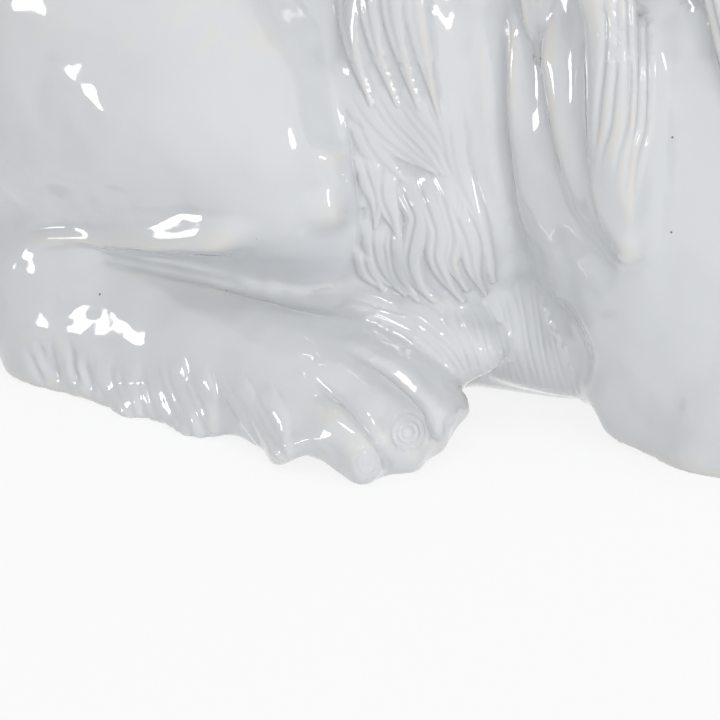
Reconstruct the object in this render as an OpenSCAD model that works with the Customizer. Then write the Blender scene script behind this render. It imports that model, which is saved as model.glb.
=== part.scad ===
// Porcelain lion lying with its head raised, made of slip castings luted together.
// Millimetres. +X is the way the lion faces, -Y is its right side, and it lies on the plane Z = 0.
// Each casting is fitted to the ones under it, so their faces meet at the luted seams.

/* [Trunk] */
// Length of the trunk from the rump to the front of the chest
trunk_length = 318; // [300:1:330]
// Width of the trunk across the ribs
trunk_width = 124; // [114:1:134]
// Height of the back over the loin
loin_height = 164; // [154:1:174]
// Height of the back at the withers
withers_height = 190; // [180:1:200]
// Width of the flat that the belly lies on
belly_flat = 44; // [40:1:54]
// Distance of the rump behind the middle of the lion
rump_back = 197; // [190:1:200]

/* [Hind legs] */
// Length of the thigh from the haunch to the knee
thigh_length = 140; // [130:1:150]
// Thickness of the thigh
thigh_thickness = 74; // [68:1:80]
// Height of the haunch over the ground
haunch_height = 144; // [136:1:152]
// Height of the underside of the thigh over the ground
thigh_clearance = 31; // [27:1:34]
// Distance of the middle of the thigh from the lion's middle plane
thigh_out = 53; // [49:1:57]
// Distance of the knee in front of the rump
knee_forward = 138; // [132:1:144]
// Length of the hind foot from heel to toe tips
hind_foot_length = 152; // [144:1:160]
// Width of the hind foot over the instep
hind_foot_width = 48; // [44:1:52]
// Height of the heel
heel_height = 45; // [41:1:49]
// Angle that the hind foot turns out
foot_turnout = 16.5; // [12:0.5:20]
// Angle that the toes of the hind foot turn out
toe_turnout = 4; // [0:1:8]
// Distance of the heel in front of the rump
heel_forward = 27; // [22:1:32]
// Distance of the heel from the lion's middle plane
heel_out = 49; // [46:1:53]

/* [Forelegs] */
// Distance from the middle of the shoulder forward to the front of the chest
shoulder_forward = 95; // [88:1:102]
// Length of the forearm from elbow to toe tips
forearm_length = 200; // [190:1:208]
// Width of the forearm
forearm_width = 46; // [42:1:50]
// Height of the forearm behind the wrist
forearm_height = 44; // [40:1:48]
// Distance of each forearm from the lion's middle plane
forearm_out = 48; // [45:1:52]
// Height of the top of the shoulder
shoulder_height = 172; // [164:1:180]
// Length of the shoulder from front to back
shoulder_length = 92; // [84:1:98]
// Thickness of the shoulder
shoulder_thickness = 50; // [46:1:54]
// Distance of the middle of the shoulder from the lion's middle plane
shoulder_out = 50; // [47:1:54]

/* [Paws] */
// Radius of a toe
toe_radius = 8; // [7:0.5:9]
// Length of a toe
toe_length = 32; // [28:1:36]

/* [Head] */
// Length of the head from its joint to the nose
head_length = 100; // [92:1:106]
// Width of the head across the cheeks
head_width = 90; // [84:1:96]
// Height of the head through the brow
head_height = 92; // [86:1:98]
// Height of the middle of the head over the withers
head_rise = 43; // [37:1:49]
// Distance of the head's joint in front of the middle of the shoulder
head_forward = 46; // [42:1:50]
// Length of the lower jaw
jaw_length = 62; // [56:1:66]
// Width of the lower jaw
jaw_width = 46; // [42:1:50]
// Thickness of the lower jaw
jaw_thickness = 32; // [28:1:36]
// Width of an ear
ear_width = 34; // [30:1:38]
// Height of an ear
ear_height = 38; // [34:1:42]
// Thickness of an ear at its root
ear_thickness = 18; // [15:1:20]

/* [Mane] */
// Width of the mane across the neck
mane_width = 172; // [164:1:180]
// Height of the mane from the throat to the crown
mane_height = 196; // [188:1:204]
// Length of the mane from the withers to the face
mane_length = 140; // [132:1:146]
// Length of the bib of mane on the chest
bib_length = 112; // [100:1:120]
// Width of the bib of mane on the chest
bib_width = 88; // [80:1:94]
// Thickness of the bib of mane on the chest
bib_thickness = 48; // [42:1:54]
// Length of a lock of mane on the shoulder
lock_length = 76; // [66:1:84]
// Width of a lock of mane on the shoulder
lock_width = 21; // [18:1:24]
// Thickness of a lock of mane on the shoulder
lock_thickness = 12; // [10:1:14]

/* [Belly fur] */
// Length of the tuft that hangs on each flank
tuft_length = 86; // [78:1:92]
// Width of the tuft that hangs on each flank
tuft_width = 34; // [30:1:38]
// Thickness of the tuft that hangs on each flank
tuft_thickness = 26; // [22:1:30]
// Length of the fringe under each flank
fringe_length = 74; // [66:1:80]
// Height of the fringe under each flank
fringe_height = 44; // [38:1:50]
// Thickness of the fringe under each flank
fringe_thickness = 22; // [19:1:25]

/* [Tail] */
// Thickness of the tail
tail_thickness = 17; // [15:1:19]
// Length of the tuft of the tail
tail_tuft_length = 58; // [52:1:64]
// Thickness of the tuft of the tail
tail_tuft_thickness = 30; // [27:1:33]

/* [Walls and joints] */
// Thickness of the cast walls
wall = 6; // [4:0.5:8]
// Length of the plate that closes the underside
plate_length = 150; // [120:1:170]
// Width of the plate that closes the underside
plate_width = 34; // [28:1:38]
// Gap around the plate that closes the underside
plate_gap = 0.25; // [0.1:0.05:0.5]
// Radius of the vent in the underside
vent_radius = 8; // [5:0.5:11]
// Radius of the vents between the trunk and the limbs
limb_vent_radius = 5; // [3:0.5:7]

/* [Hidden] */

porcelain = [0.90, 0.92, 0.94];
bare_clay = [0.86, 0.84, 0.80];
up = [0, 0, 1];
forward = [1, 0, 0];
// A box larger than the lion, for cutting at the ground
reach = 4 * trunk_length;
// Least radius of the end of a form
tip = 0.8;
// How far a cut runs past the face that it opens
cut_past = 1;

// Smooth curve through a list of stations, each [x, y, z, half width, half height]
function span(s, i) = norm(centre(s[i + 1]) - centre(s[i]));
function slope(s, i) =
    i == 0 ? (s[1] - s[0]) / span(s, 0)
    : i == len(s) - 1 ? (s[i] - s[i - 1]) / span(s, i - 1)
    : ((s[i] - s[i - 1]) / span(s, i - 1) * span(s, i) + (s[i + 1] - s[i]) / span(s, i) * span(s, i - 1))
        / (span(s, i - 1) + span(s, i));
function between(s, i, t) =
    s[i] * (2 * t * t * t - 3 * t * t + 1) + slope(s, i) * span(s, i) * (t * t * t - 2 * t * t + t)
    + s[i + 1] * (3 * t * t - 2 * t * t * t) + slope(s, i + 1) * span(s, i) * (t * t * t - t * t);
function curved(s, steps) = [
    for (i = [0 : len(s) - 2], k = [0 : steps - 1]) between(s, i, k / steps),
    s[len(s) - 1]
];
function centre(s) = [s[0], s[1], s[2]];
function unit(v) = v / norm(v);
function heading(s, i) = unit(centre(s[min(i + 1, len(s) - 1)]) - centre(s[max(i - 1, 0)]));
// A ring round one station, square to a given direction, or to the way the stations head
function ring(s, i, top, sides, axis) = let (
    along = is_undef(axis) ? heading(s, i) : axis,
    across = unit(cross(top, along)),
    rise = cross(along, across)
) [
    for (k = [0 : sides - 1]) let (turn = 360 * k / sides)
        centre(s[i]) + across * max(s[i][3], tip) * cos(turn) + rise * max(s[i][4], tip) * sin(turn)
];
// The stations of the hollow inside, one wall in and short of both ends
function inside(s) = [
    for (i = [1 : len(s) - 2])
        [s[i][0], s[i][1], s[i][2], max(s[i][3] - wall, tip), max(s[i][4] - wall, tip)]
];

// Skin over rings of stations, closed at both ends
module loft(stations, steps = 2, sides = 20, top = up, axis = undef) {
    s = curved(stations, steps);
    last = len(s) - 1;
    points = [for (i = [0 : last]) each ring(s, i, top, sides, axis),
        centre(s[0]), centre(s[last])];
    start_cap = len(points) - 2;
    end_cap = len(points) - 1;
    polyhedron(points, [
        for (i = [0 : last - 1], k = [0 : sides - 1]) let (
            a = i * sides + k,
            b = i * sides + (k + 1) % sides
        ) each [[a, b + sides, b], [a, a + sides, b + sides]],
        for (k = [0 : sides - 1]) [start_cap, k, (k + 1) % sides],
        for (k = [0 : sides - 1]) [end_cap, last * sides + (k + 1) % sides, last * sides + k]
    ]);
}
// The hollow inside a casting, over its floor
module hollow(stations, top = up, axis = undef) {
    intersection() {
        loft(inside(stations), 1, 12, top, axis);
        translate([-reach / 2, -reach / 2, wall]) cube(reach);
    }
}
// What lies over the ground
module over_ground() {
    intersection() {
        children();
        translate([-reach / 2, -reach / 2, 0]) cube(reach);
    }
}
// A casting as one closed skin
module casting(tint = porcelain) {
    color(tint) resize([0, 0, 0]) over_ground() children();
}
// The same shape on the right side as drawn, or on the left side
module on_side(side) {
    if (side == "left") mirror([0, 1, 0]) children();
    else children();
}

// Trunk
rump_x = -rump_back;
trunk_share = sqrt(1 - pow(belly_flat / trunk_width, 2));
belly_sink = loin_height * (1 - trunk_share) / (1 + trunk_share);
// Each [share of the length, share of the width, top, bottom]
trunk_sections = [
    [0.000, 0.10, 0.62 * loin_height, 0.38 * loin_height],
    [0.025, 0.52, 0.78 * loin_height, 0.16 * loin_height],
    [0.100, 0.84, 0.90 * loin_height, -belly_sink],
    [0.240, 0.98, 0.97 * loin_height, -belly_sink],
    [0.420, 0.96, loin_height, -belly_sink],
    [0.580, 0.96, (loin_height + withers_height) / 2, -belly_sink],
    [0.740, 1.00, withers_height, -belly_sink],
    [0.870, 0.92, withers_height, -belly_sink / 2],
    [0.955, 0.66, 0.88 * withers_height, 0.12 * withers_height],
    [1.000, 0.16, 0.66 * withers_height, 0.40 * withers_height]
];
trunk_stations = [
    for (s = trunk_sections)
        [rump_x + s[0] * trunk_length, 0, (s[2] + s[3]) / 2, s[1] * trunk_width / 2, (s[2] - s[3]) / 2]
];
module trunk_form() loft(trunk_stations, 2, 24, up, forward);

// Underside plate
plate_x = rump_x + trunk_length / 2;
plate_reach = (plate_length - plate_width) / 2;
module plate_outline(grow) {
    translate([plate_x - plate_reach, -plate_width / 2 - grow])
        square([2 * plate_reach, plate_width + 2 * grow]);
    for (end = [-1, 1])
        translate([plate_x + end * plate_reach, 0]) circle(plate_width / 2 + grow, $fn = 48);
}

// Thigh, drawn on the right side
knee_x = rump_x + knee_forward;
// Each [share of the length, share of the distance out, share of the thickness, top, bottom]
thigh_sections = [
    [0.00, 0.80, 0.12, 0.58 * haunch_height, 0.46 * haunch_height],
    [0.05, 0.86, 0.52, 0.78 * haunch_height, 0.32 * haunch_height],
    [0.22, 0.95, 0.90, 0.95 * haunch_height, 1.06 * thigh_clearance],
    [0.45, 1.00, 1.00, haunch_height, thigh_clearance],
    [0.66, 1.04, 0.98, 0.92 * haunch_height, thigh_clearance],
    [0.84, 1.08, 0.82, 0.76 * haunch_height, 1.06 * thigh_clearance],
    [0.95, 1.08, 0.52, 0.60 * haunch_height, 1.22 * thigh_clearance],
    [1.00, 1.06, 0.14, 0.46 * haunch_height, 1.58 * thigh_clearance]
];
thigh_stations = [
    for (s = thigh_sections) [
        knee_x - (1 - s[0]) * thigh_length, -s[1] * thigh_out, (s[3] + s[4]) / 2,
        s[2] * thigh_thickness / 2, (s[3] - s[4]) / 2
    ]
];
module thigh_form() loft(thigh_stations, 2, 20, up, forward);

// Hind foot, drawn on the right side along its own line from the heel
foot_heading = [cos(foot_turnout), -sin(foot_turnout)];
function foot_at(d) = [rump_x + heel_forward, -heel_out] + d * foot_heading;
foot_axis = [foot_heading[0], foot_heading[1], 0];
foot_toes = foot_at(hind_foot_length);
// How far the round of a foot runs under the ground before it is cut flat, as a share of its height
foot_sink = 0.32;
// Each [share of the length, share of the width, share of the heel's height]
foot_sections = [
    [0.00, 0.20, 0.62], [0.03, 0.66, 0.84], [0.10, 0.94, 0.98], [0.24, 0.98, 0.98], [0.44, 0.94, 0.85],
    [0.64, 1.06, 0.74], [0.78, 1.26, 0.66], [0.86, 1.22, 0.55], [0.91, 0.90, 0.42], [0.93, 0.40, 0.28]
];
foot_stations = [
    for (s = foot_sections) let (p = foot_at(s[0] * hind_foot_length), rise = s[2] * heel_height) [
        p[0], p[1], rise * (1 - foot_sink) / 2, s[1] * hind_foot_width / 2, rise * (1 + foot_sink) / 2
    ]
];
toe_shares = [-1.5, -0.5, 0.5, 1.5];
toe_pitch = 1.55 * toe_radius;
// Height of a toe's root, and how far the toes draw together there
root_lift = 1.9 * toe_radius;
root_draw = 0.62;
// How far the outer toes stand behind the middle ones
toe_setback = 0.5 * toe_radius;
toe_lift = 0.15 * toe_radius;
// Four toes whose tips lie on x = 0, pointing along +X
module toes() {
    for (share = toe_shares) {
        back = abs(share) > 1 ? toe_setback : 0;
        hull() {
            translate([-toe_radius - back, share * toe_pitch, toe_radius + toe_lift])
                sphere(toe_radius, $fn = 10);
            translate([-toe_length - back, share * toe_pitch * root_draw, root_lift])
                sphere(toe_radius, $fn = 10);
        }
    }
}
module hind_foot_form() {
    loft(foot_stations, 2, 16, up, foot_axis);
    translate([foot_toes[0], foot_toes[1], 0]) rotate(-toe_turnout) toes();
}

// Shoulder, drawn on the right side from the top down
shoulder_x = rump_x + trunk_length - shoulder_forward;
// Each [share of the height, shift forward as a share of the length, share of the distance out,
// share of the length, share of the thickness]
shoulder_sections = [
    [1.00, 0.24, 0.66, 0.18, 0.20], [0.96, 0.22, 0.76, 0.54, 0.50], [0.84, 0.15, 0.90, 0.84, 0.78],
    [0.67, 0.06, 1.00, 0.99, 0.94], [0.48, 0.00, 1.04, 1.00, 1.02], [0.29, -0.01, 1.02, 0.88, 0.98],
    [0.13, 0.00, 0.92, 0.72, 0.84], [-0.02, 0.05, 0.84, 0.60, 0.72]
];
shoulder_stations = [
    for (s = shoulder_sections) [
        shoulder_x + s[1] * shoulder_length, -s[2] * shoulder_out, s[0] * shoulder_height,
        s[4] * shoulder_thickness / 2, s[3] * shoulder_length / 2
    ]
];
module shoulder_form() loft(shoulder_stations, 2, 18, forward, -up);

// Forearm, drawn on the right side forward from the elbow
elbow_x = shoulder_x - 0.2 * shoulder_length;
// Each [share of the length, share of the width, share of the height]
forearm_sections = [
    [0.00, 0.16, 0.56], [0.05, 0.52, 0.86], [0.14, 0.96, 1.00], [0.32, 1.00, 1.00], [0.52, 0.88, 0.86],
    [0.70, 0.92, 0.78], [0.83, 1.06, 0.76], [0.90, 1.00, 0.64], [0.935, 0.76, 0.46], [0.95, 0.36, 0.30]
];
forearm_stations = [
    for (s = forearm_sections) let (rise = s[2] * forearm_height) [
        elbow_x + s[0] * forearm_length, -forearm_out, rise * (1 - foot_sink) / 2,
        s[1] * forearm_width / 2, rise * (1 + foot_sink) / 2
    ]
];
module forearm_form() {
    loft(forearm_stations, 2, 16, up, forward);
    translate([elbow_x + forearm_length, -forearm_out, 0]) toes();
}

// Head, from its joint inside the mane to the nose
head_x = shoulder_x + head_forward;
head_lift = withers_height + head_rise;
// Each [share of the length, share of the width, top share, bottom share of the height about the middle]
head_sections = [
    [0.00, 0.76, 0.40, 0.42], [0.16, 0.96, 0.52, 0.50], [0.34, 1.00, 0.54, 0.50], [0.48, 0.92, 0.46, 0.50],
    [0.60, 0.78, 0.32, 0.47], [0.74, 0.70, 0.22, 0.45], [0.88, 0.66, 0.15, 0.44], [0.965, 0.54, 0.07, 0.40],
    [1.00, 0.30, -0.04, 0.30]
];
head_stations = [
    for (s = head_sections) [
        head_x + s[0] * head_length, 0, head_lift + (s[2] - s[3]) / 2 * head_height,
        s[1] * head_width / 2, (s[2] + s[3]) / 2 * head_height
    ]
];
module head_form() loft(head_stations, 2, 20, up, forward);

// Lower jaw, under the muzzle
jaw_x = head_x + 0.92 * head_length - jaw_length;
jaw_z = head_lift - 0.46 * head_height;
// Each [share of the length, share of the width, share of the thickness]
jaw_sections = [
    [0.00, 0.90, 0.60], [0.25, 1.10, 0.92], [0.62, 0.96, 1.00], [0.88, 0.74, 0.88], [1.00, 0.30, 0.44]
];
jaw_stations = [
    for (s = jaw_sections)
        [jaw_x + s[0] * jaw_length, 0, jaw_z, s[1] * jaw_width / 2, s[2] * jaw_thickness / 2]
];
module jaw_form() loft(jaw_stations, 2, 14, up, forward);

// Ear, drawn on the right side
ear_base = [head_x + 0.22 * head_length, -0.40 * head_width, head_lift + 0.34 * head_height];
ear_rise = unit([-0.10, -0.55, 0.83]);
// Each [share of the height, share of the width, share of the thickness]
ear_sections = [
    [0.00, 0.66, 1.00], [0.35, 1.00, 1.00], [0.70, 0.88, 0.78], [0.92, 0.50, 0.56], [1.00, 0.12, 0.22]
];
ear_stations = [
    for (s = ear_sections) let (p = ear_base + s[0] * ear_height * ear_rise)
        [p[0], p[1], p[2], s[1] * ear_width / 2, s[2] * ear_thickness / 2]
];
module ear_form() loft(ear_stations, 2, 12, forward);

// Mane round the neck, from the withers up to the face
mane_x = head_x + 0.42 * head_length - mane_length;
mane_z = 0.84 * withers_height;
mane_climb = 0.94 * head_lift - mane_z;
mane_tilt = 12;
mane_axis = [cos(mane_tilt), 0, sin(mane_tilt)];
// Each [share of the length, share of the climb, share of the width, share of the height]
mane_sections = [
    [0.00, 0.00, 0.22, 0.18], [0.06, 0.08, 0.54, 0.40], [0.22, 0.28, 0.82, 0.68], [0.44, 0.50, 0.98, 0.94],
    [0.66, 0.69, 1.00, 1.02], [0.84, 0.86, 0.92, 0.96], [0.95, 0.97, 0.74, 0.80], [1.00, 1.00, 0.56, 0.62]
];
mane_stations = [
    for (s = mane_sections) [
        mane_x + s[0] * mane_length, 0, mane_z + s[1] * mane_climb,
        s[2] * mane_width / 2, s[3] * mane_height / 2
    ]
];
module mane_form() loft(mane_stations, 2, 24, up, mane_axis);

// Locks on the mane, which lie back from their roots in rows round the neck
mane_lock_width = 1.36 * lock_width;
mane_lock_thickness = 1.25 * lock_thickness;
mane_side = [0, 1, 0];
mane_top = cross(mane_axis, mane_side);
// Each [place of the roots and length as shares of the mane's length, locks in a full turn, shift in locks]
mane_rows = [[0.96, 0.33, 19, 0], [0.79, 0.38, 19, 0.5], [0.61, 0.38, 18, 0], [0.43, 0.34, 15, 0.5]];
// Angles from the crown: how far down the locks go, how far each droops, and where the ears leave a gap
mane_throat = 124;
mane_droop = 20;
ear_turn = 34;
ear_gap = 13;
// How far the locks stray in place, angle and length
mane_stray = [0.03, 4, 0.12];
function stray(row, k, seed) = sin(137 * k + 61 * row + seed);
// Each [share of the length, share of the width, share of the thickness, lift as a share of the thickness]
mane_lock_sections = [
    [0.00, 0.40, 0.50, 0.04], [0.20, 0.90, 0.92, 0.14], [0.52, 1.00, 1.00, 0.20], [0.82, 0.64, 0.76, 0.14],
    [1.00, 0.12, 0.28, 0.06]
];
function mane_at(share) = let (
    i = max([for (k = [0 : len(mane_sections) - 2]) if (mane_sections[k][0] <= share) k]),
    length = mane_sections[i + 1][0] - mane_sections[i][0]
) between(mane_stations, i, (share - mane_sections[i][0]) / length);
function mane_out(turn) = sin(turn) * mane_side + cos(turn) * mane_top;
function mane_point(share, turn, lift) = let (s = mane_at(share))
    centre(s) + sin(turn) * (s[3] + lift) * mane_side + cos(turn) * (s[4] + lift) * mane_top;
function mane_lock_stations(root, length, turn) = [
    for (s = mane_lock_sections) let (
        p = mane_point(root - s[0] * length, turn + mane_droop * s[0] * sin(turn), s[3] * mane_lock_thickness)
    ) [p[0], p[1], p[2], s[1] * mane_lock_width / 2, s[2] * mane_lock_thickness / 2]
];
module mane_locks_form() {
    for (row = [0 : len(mane_rows) - 1], k = [0 : mane_rows[row][2] - 1]) {
        even = 360 * (k + mane_rows[row][3]) / mane_rows[row][2];
        turn = (even > 180 ? even - 360 : even) + mane_stray[1] * stray(row, k, 0);
        root = mane_rows[row][0] + mane_stray[0] * stray(row, k, 90);
        length = mane_rows[row][1] * (1 + mane_stray[2] * stray(row, k, 200));
        by_ear = row == 0 && abs(abs(turn) - ear_turn) < ear_gap;
        if (abs(turn) < mane_throat && !by_ear)
            loft(mane_lock_stations(min(root, 1), min(length, root), turn), 1, 8,
                mane_out(turn + mane_droop / 2 * sin(turn)));
    }
}

// Bib of mane on the chest, from the throat down
bib_top = head_lift - 0.62 * head_height;
bib_x = rump_x + 0.98 * trunk_length;
// Each [share of the length, shift forward as a share of the length, share of the width,
// share of the thickness]
bib_sections = [
    [0.00, -0.11, 0.90, 0.75], [0.18, -0.02, 1.00, 1.00], [0.42, 0.03, 0.94, 1.00],
    [0.66, 0.04, 0.72, 0.83], [0.88, 0.01, 0.38, 0.54], [1.00, -0.04, 0.10, 0.20]
];
bib_stations = [
    for (s = bib_sections) [
        bib_x + s[1] * bib_length, 0, bib_top - s[0] * bib_length,
        s[2] * bib_width / 2, s[3] * bib_thickness / 2
    ]
];
module bib_form() loft(bib_stations, 2, 18, forward, -up);

// Locks of mane that hang on the right shoulder
lock_side = shoulder_out + 0.48 * shoulder_thickness;
// Each [place of the tip as a share of the shoulder's length, height of the tip as a share of the
// shoulder's height, distance out of the tip, lean forward and lean out as shares of the lock's length]
lock_places = [
    [-0.41, 0.60, 0.49 * trunk_width, -0.05, -0.15],
    [0.01, 0.33, lock_side, 0.16, 0.05],
    [0.37, 0.52, lock_side, 0.18, 0.05]
];
// Each [share of the length, share of the width, share of the thickness]
lock_sections = [
    [0.00, 0.80, 0.90], [0.30, 1.00, 1.00], [0.60, 0.94, 1.00], [0.84, 0.62, 0.80], [1.00, 0.12, 0.30]
];
function lock_stations(place) = [
    for (s = lock_sections) let (climb = 1 - s[0]) [
        shoulder_x + place[0] * shoulder_length - climb * place[3] * lock_length,
        -place[2] - climb * place[4] * lock_length,
        place[1] * shoulder_height + climb * lock_length,
        s[2] * lock_thickness / 2, s[1] * lock_width / 2
    ]
];
module locks_form() {
    for (place = lock_places) loft(lock_stations(place), 2, 12, forward, -up);
}

// Tuft of fur on the right flank, between the knee and the shoulder
tuft_x = knee_x + tuft_width / 2;
tuft_top = 0.74 * loin_height;
tuft_side = 0.45 * trunk_width;
// How far the tuft draws in under the flank
tuft_tuck = 0.065 * trunk_width;
// Each [share of the length, shift forward as a share of the width, share of the width,
// share of the thickness]
tuft_sections = [
    [0.00, -0.24, 0.60, 0.70], [0.30, -0.12, 0.92, 0.92], [0.60, 0.06, 1.00, 1.00],
    [0.85, 0.24, 0.74, 0.84], [1.00, 0.35, 0.24, 0.38]
];
tuft_stations = [
    for (s = tuft_sections) [
        tuft_x + s[1] * tuft_width, -tuft_side + s[0] * tuft_tuck, tuft_top - s[0] * tuft_length,
        s[3] * tuft_thickness / 2, s[2] * tuft_width / 2
    ]
];
module tuft_form() loft(tuft_stations, 2, 14, forward, -up);

// Fringe of fur along the ground under the right flank
fringe_x = knee_x - 0.16 * fringe_length;
// Angle that the fringe leans out, as the side of the belly does over the ground
fringe_lean = atan((0.385 * trunk_width - belly_flat / 2) / (0.2 * loin_height));
fringe_rise = [0, -sin(fringe_lean), cos(fringe_lean)];
fringe_foot = [fringe_x, -belly_flat / 2, 0];
// Each [share of the length, share of the thickness, share of the height]
fringe_sections = [
    [0.00, 0.50, 0.62], [0.14, 0.90, 0.92], [0.42, 1.00, 1.00], [0.74, 0.96, 0.98], [1.00, 0.70, 0.80]
];
fringe_stations = [
    for (s = fringe_sections) let (
        half = s[2] * fringe_height / 2,
        p = fringe_foot + s[0] * fringe_length * forward + half * fringe_rise
    ) [p[0], p[1], p[2], s[1] * fringe_thickness / 2, half]
];
module fringe_form() loft(fringe_stations, 2, 14, fringe_rise, forward);

// Tail, from the rump round the left haunch
tail_root = 0.40 * loin_height;
// Distance out of the tail where it lies on the haunch
tail_side = thigh_out + thigh_thickness / 2 + 0.18 * tail_thickness;
// Each [shift forward as a share of the thigh's length, share of the distance out,
// climb as a share of the loin's height, share of the thickness]
tail_sections = [
    [0.085, -0.02, 0.00, 1.00], [-0.010, 0.11, -0.05, 1.00], [0.007, 0.37, -0.13, 1.00],
    [0.100, 0.67, -0.13, 0.96], [0.255, 0.90, -0.09, 0.92], [0.445, 0.99, 0.00, 0.88],
    [0.555, 1.00, 0.06, 0.86]
];
tail_stations = [
    for (s = tail_sections) [
        rump_x + s[0] * thigh_length, s[1] * tail_side, tail_root + s[2] * loin_height,
        s[3] * tail_thickness / 2, s[3] * tail_thickness / 2
    ]
];
tail_end = tail_stations[len(tail_stations) - 1];
module tail_form() loft(tail_stations, 2, 12);
// Each [share of the length, climb as a share of the length, share of the thickness]
tail_tuft_sections = [
    [-0.06, -0.02, 0.30], [0.06, 0.02, 0.66], [0.30, 0.10, 1.00], [0.58, 0.15, 0.92], [0.84, 0.13, 0.58],
    [1.00, 0.07, 0.14]
];
// The tuft is flatter than it is high
tuft_flatness = 0.8;
tail_tuft_stations = [
    for (s = tail_tuft_sections) [
        tail_end[0] + s[0] * tail_tuft_length, tail_end[1], tail_end[2] + s[1] * tail_tuft_length,
        tuft_flatness * s[2] * tail_tuft_thickness / 2, s[2] * tail_tuft_thickness / 2
    ]
];
module tail_tuft_form() loft(tail_tuft_stations, 2, 12);

// Vents through the wall of the trunk that let the air out of the limbs and the mane
limb_vent_places = [
    [knee_x - thigh_length / 2, (haunch_height + thigh_clearance) / 2],
    [shoulder_x, 0.55 * shoulder_height]
];
module limb_vents() {
    for (place = limb_vent_places)
        translate([place[0], 0, place[1]]) rotate([90, 0, 0])
            cylinder(r = limb_vent_radius, h = trunk_width + wall, center = true, $fn = 12);
    translate([shoulder_x, 0, withers_height - 2 * wall])
        cylinder(r = limb_vent_radius, h = 3 * wall, $fn = 12);
}

module trunk_shell() casting() difference() {
    trunk_form();
    hollow(trunk_stations, up, forward);
    translate([0, 0, -cut_past]) linear_extrude(wall + 2 * cut_past) plate_outline(plate_gap);
    limb_vents();
}
module underside_plate() color(bare_clay) difference() {
    linear_extrude(wall) plate_outline(0);
    translate([plate_x, 0, -cut_past]) cylinder(r = vent_radius, h = wall + 2 * cut_past, $fn = 48);
}
module thigh(side) casting() on_side(side) difference() {
    thigh_form();
    trunk_form();
    hollow(thigh_stations, up, forward);
}
module hind_foot(side) casting() on_side(side) difference() {
    hind_foot_form();
    trunk_form();
    thigh_form();
    hollow(foot_stations, up, foot_axis);
}
module shoulder(side) casting() on_side(side) difference() {
    shoulder_form();
    trunk_form();
    hollow(shoulder_stations, forward, -up);
}
module forearm(side) casting() on_side(side) difference() {
    forearm_form();
    trunk_form();
    shoulder_form();
    hollow(forearm_stations, up, forward);
}
module head_shell() casting() difference() {
    head_form();
    translate([-wall, 0, 0]) hollow([head_stations[0], each head_stations], up, forward);
}
module lower_jaw() casting() difference() {
    jaw_form();
    head_form();
    trunk_form();
}
module ear(side) casting() on_side(side) difference() {
    ear_form();
    head_form();
    mane_form();
}
module mane_ruff() casting() difference() {
    union() {
        mane_form();
        difference() {
            mane_locks_form();
            bib_form();
            for (side = ["right", "left"]) on_side(side) {
                ear_form();
                locks_form();
            }
        }
    }
    trunk_form();
    head_form();
    jaw_form();
    shoulder_form();
    mirror([0, 1, 0]) shoulder_form();
    hollow(mane_stations, up, mane_axis);
}
module chest_mane() casting() difference() {
    bib_form();
    trunk_form();
    head_form();
    jaw_form();
    mane_form();
}
module mane_locks(side) casting() on_side(side) difference() {
    locks_form();
    trunk_form();
    shoulder_form();
    mane_form();
}
module flank_tuft(side) casting() on_side(side) difference() {
    tuft_form();
    trunk_form();
    thigh_form();
    shoulder_form();
}
module belly_fringe(side) casting() on_side(side) difference() {
    fringe_form();
    trunk_form();
    thigh_form();
    hind_foot_form();
    shoulder_form();
    forearm_form();
    tuft_form();
}
module tail() casting() difference() {
    tail_form();
    trunk_form();
    mirror([0, 1, 0]) thigh_form();
}
module tail_tuft() casting() difference() {
    tail_tuft_form();
    tail_form();
    mirror([0, 1, 0]) thigh_form();
}

trunk_shell();
underside_plate();
thigh("right");  // right_thigh
thigh("left");  // left_thigh
hind_foot("right");  // right_hind_foot
hind_foot("left");  // left_hind_foot
shoulder("right");  // right_shoulder
shoulder("left");  // left_shoulder
forearm("right");  // right_forearm
forearm("left");  // left_forearm
head_shell();
lower_jaw();
ear("right");  // right_ear
ear("left");  // left_ear
mane_ruff();
chest_mane();
mane_locks("right");  // right_mane_locks
mane_locks("left");  // left_mane_locks
flank_tuft("right");  // right_flank_tuft
flank_tuft("left");  // left_flank_tuft
belly_fringe("right");  // right_belly_fringe
belly_fringe("left");  // left_belly_fringe
tail();
tail_tuft();
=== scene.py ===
"""Glazed porcelain lion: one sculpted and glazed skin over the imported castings, cut into a piece per casting.

The castings of the frame are copied, joined and remeshed into one skin, as luting and glazing do to the real
castings. Fur, toes, face and folds are modelled on that skin, and it is cut again along the luted seams.
Sculpting sizes are millimetres. Blender's objects are metres, in the frame's own axes.
"""

import logging
import math
from dataclasses import dataclass, field, replace
from enum import Enum
from typing import Any, Iterable, Sequence

import bmesh
import bpy
import numpy as np
from mathutils import Matrix, Vector, noise
from mathutils.bvhtree import BVHTree


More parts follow.
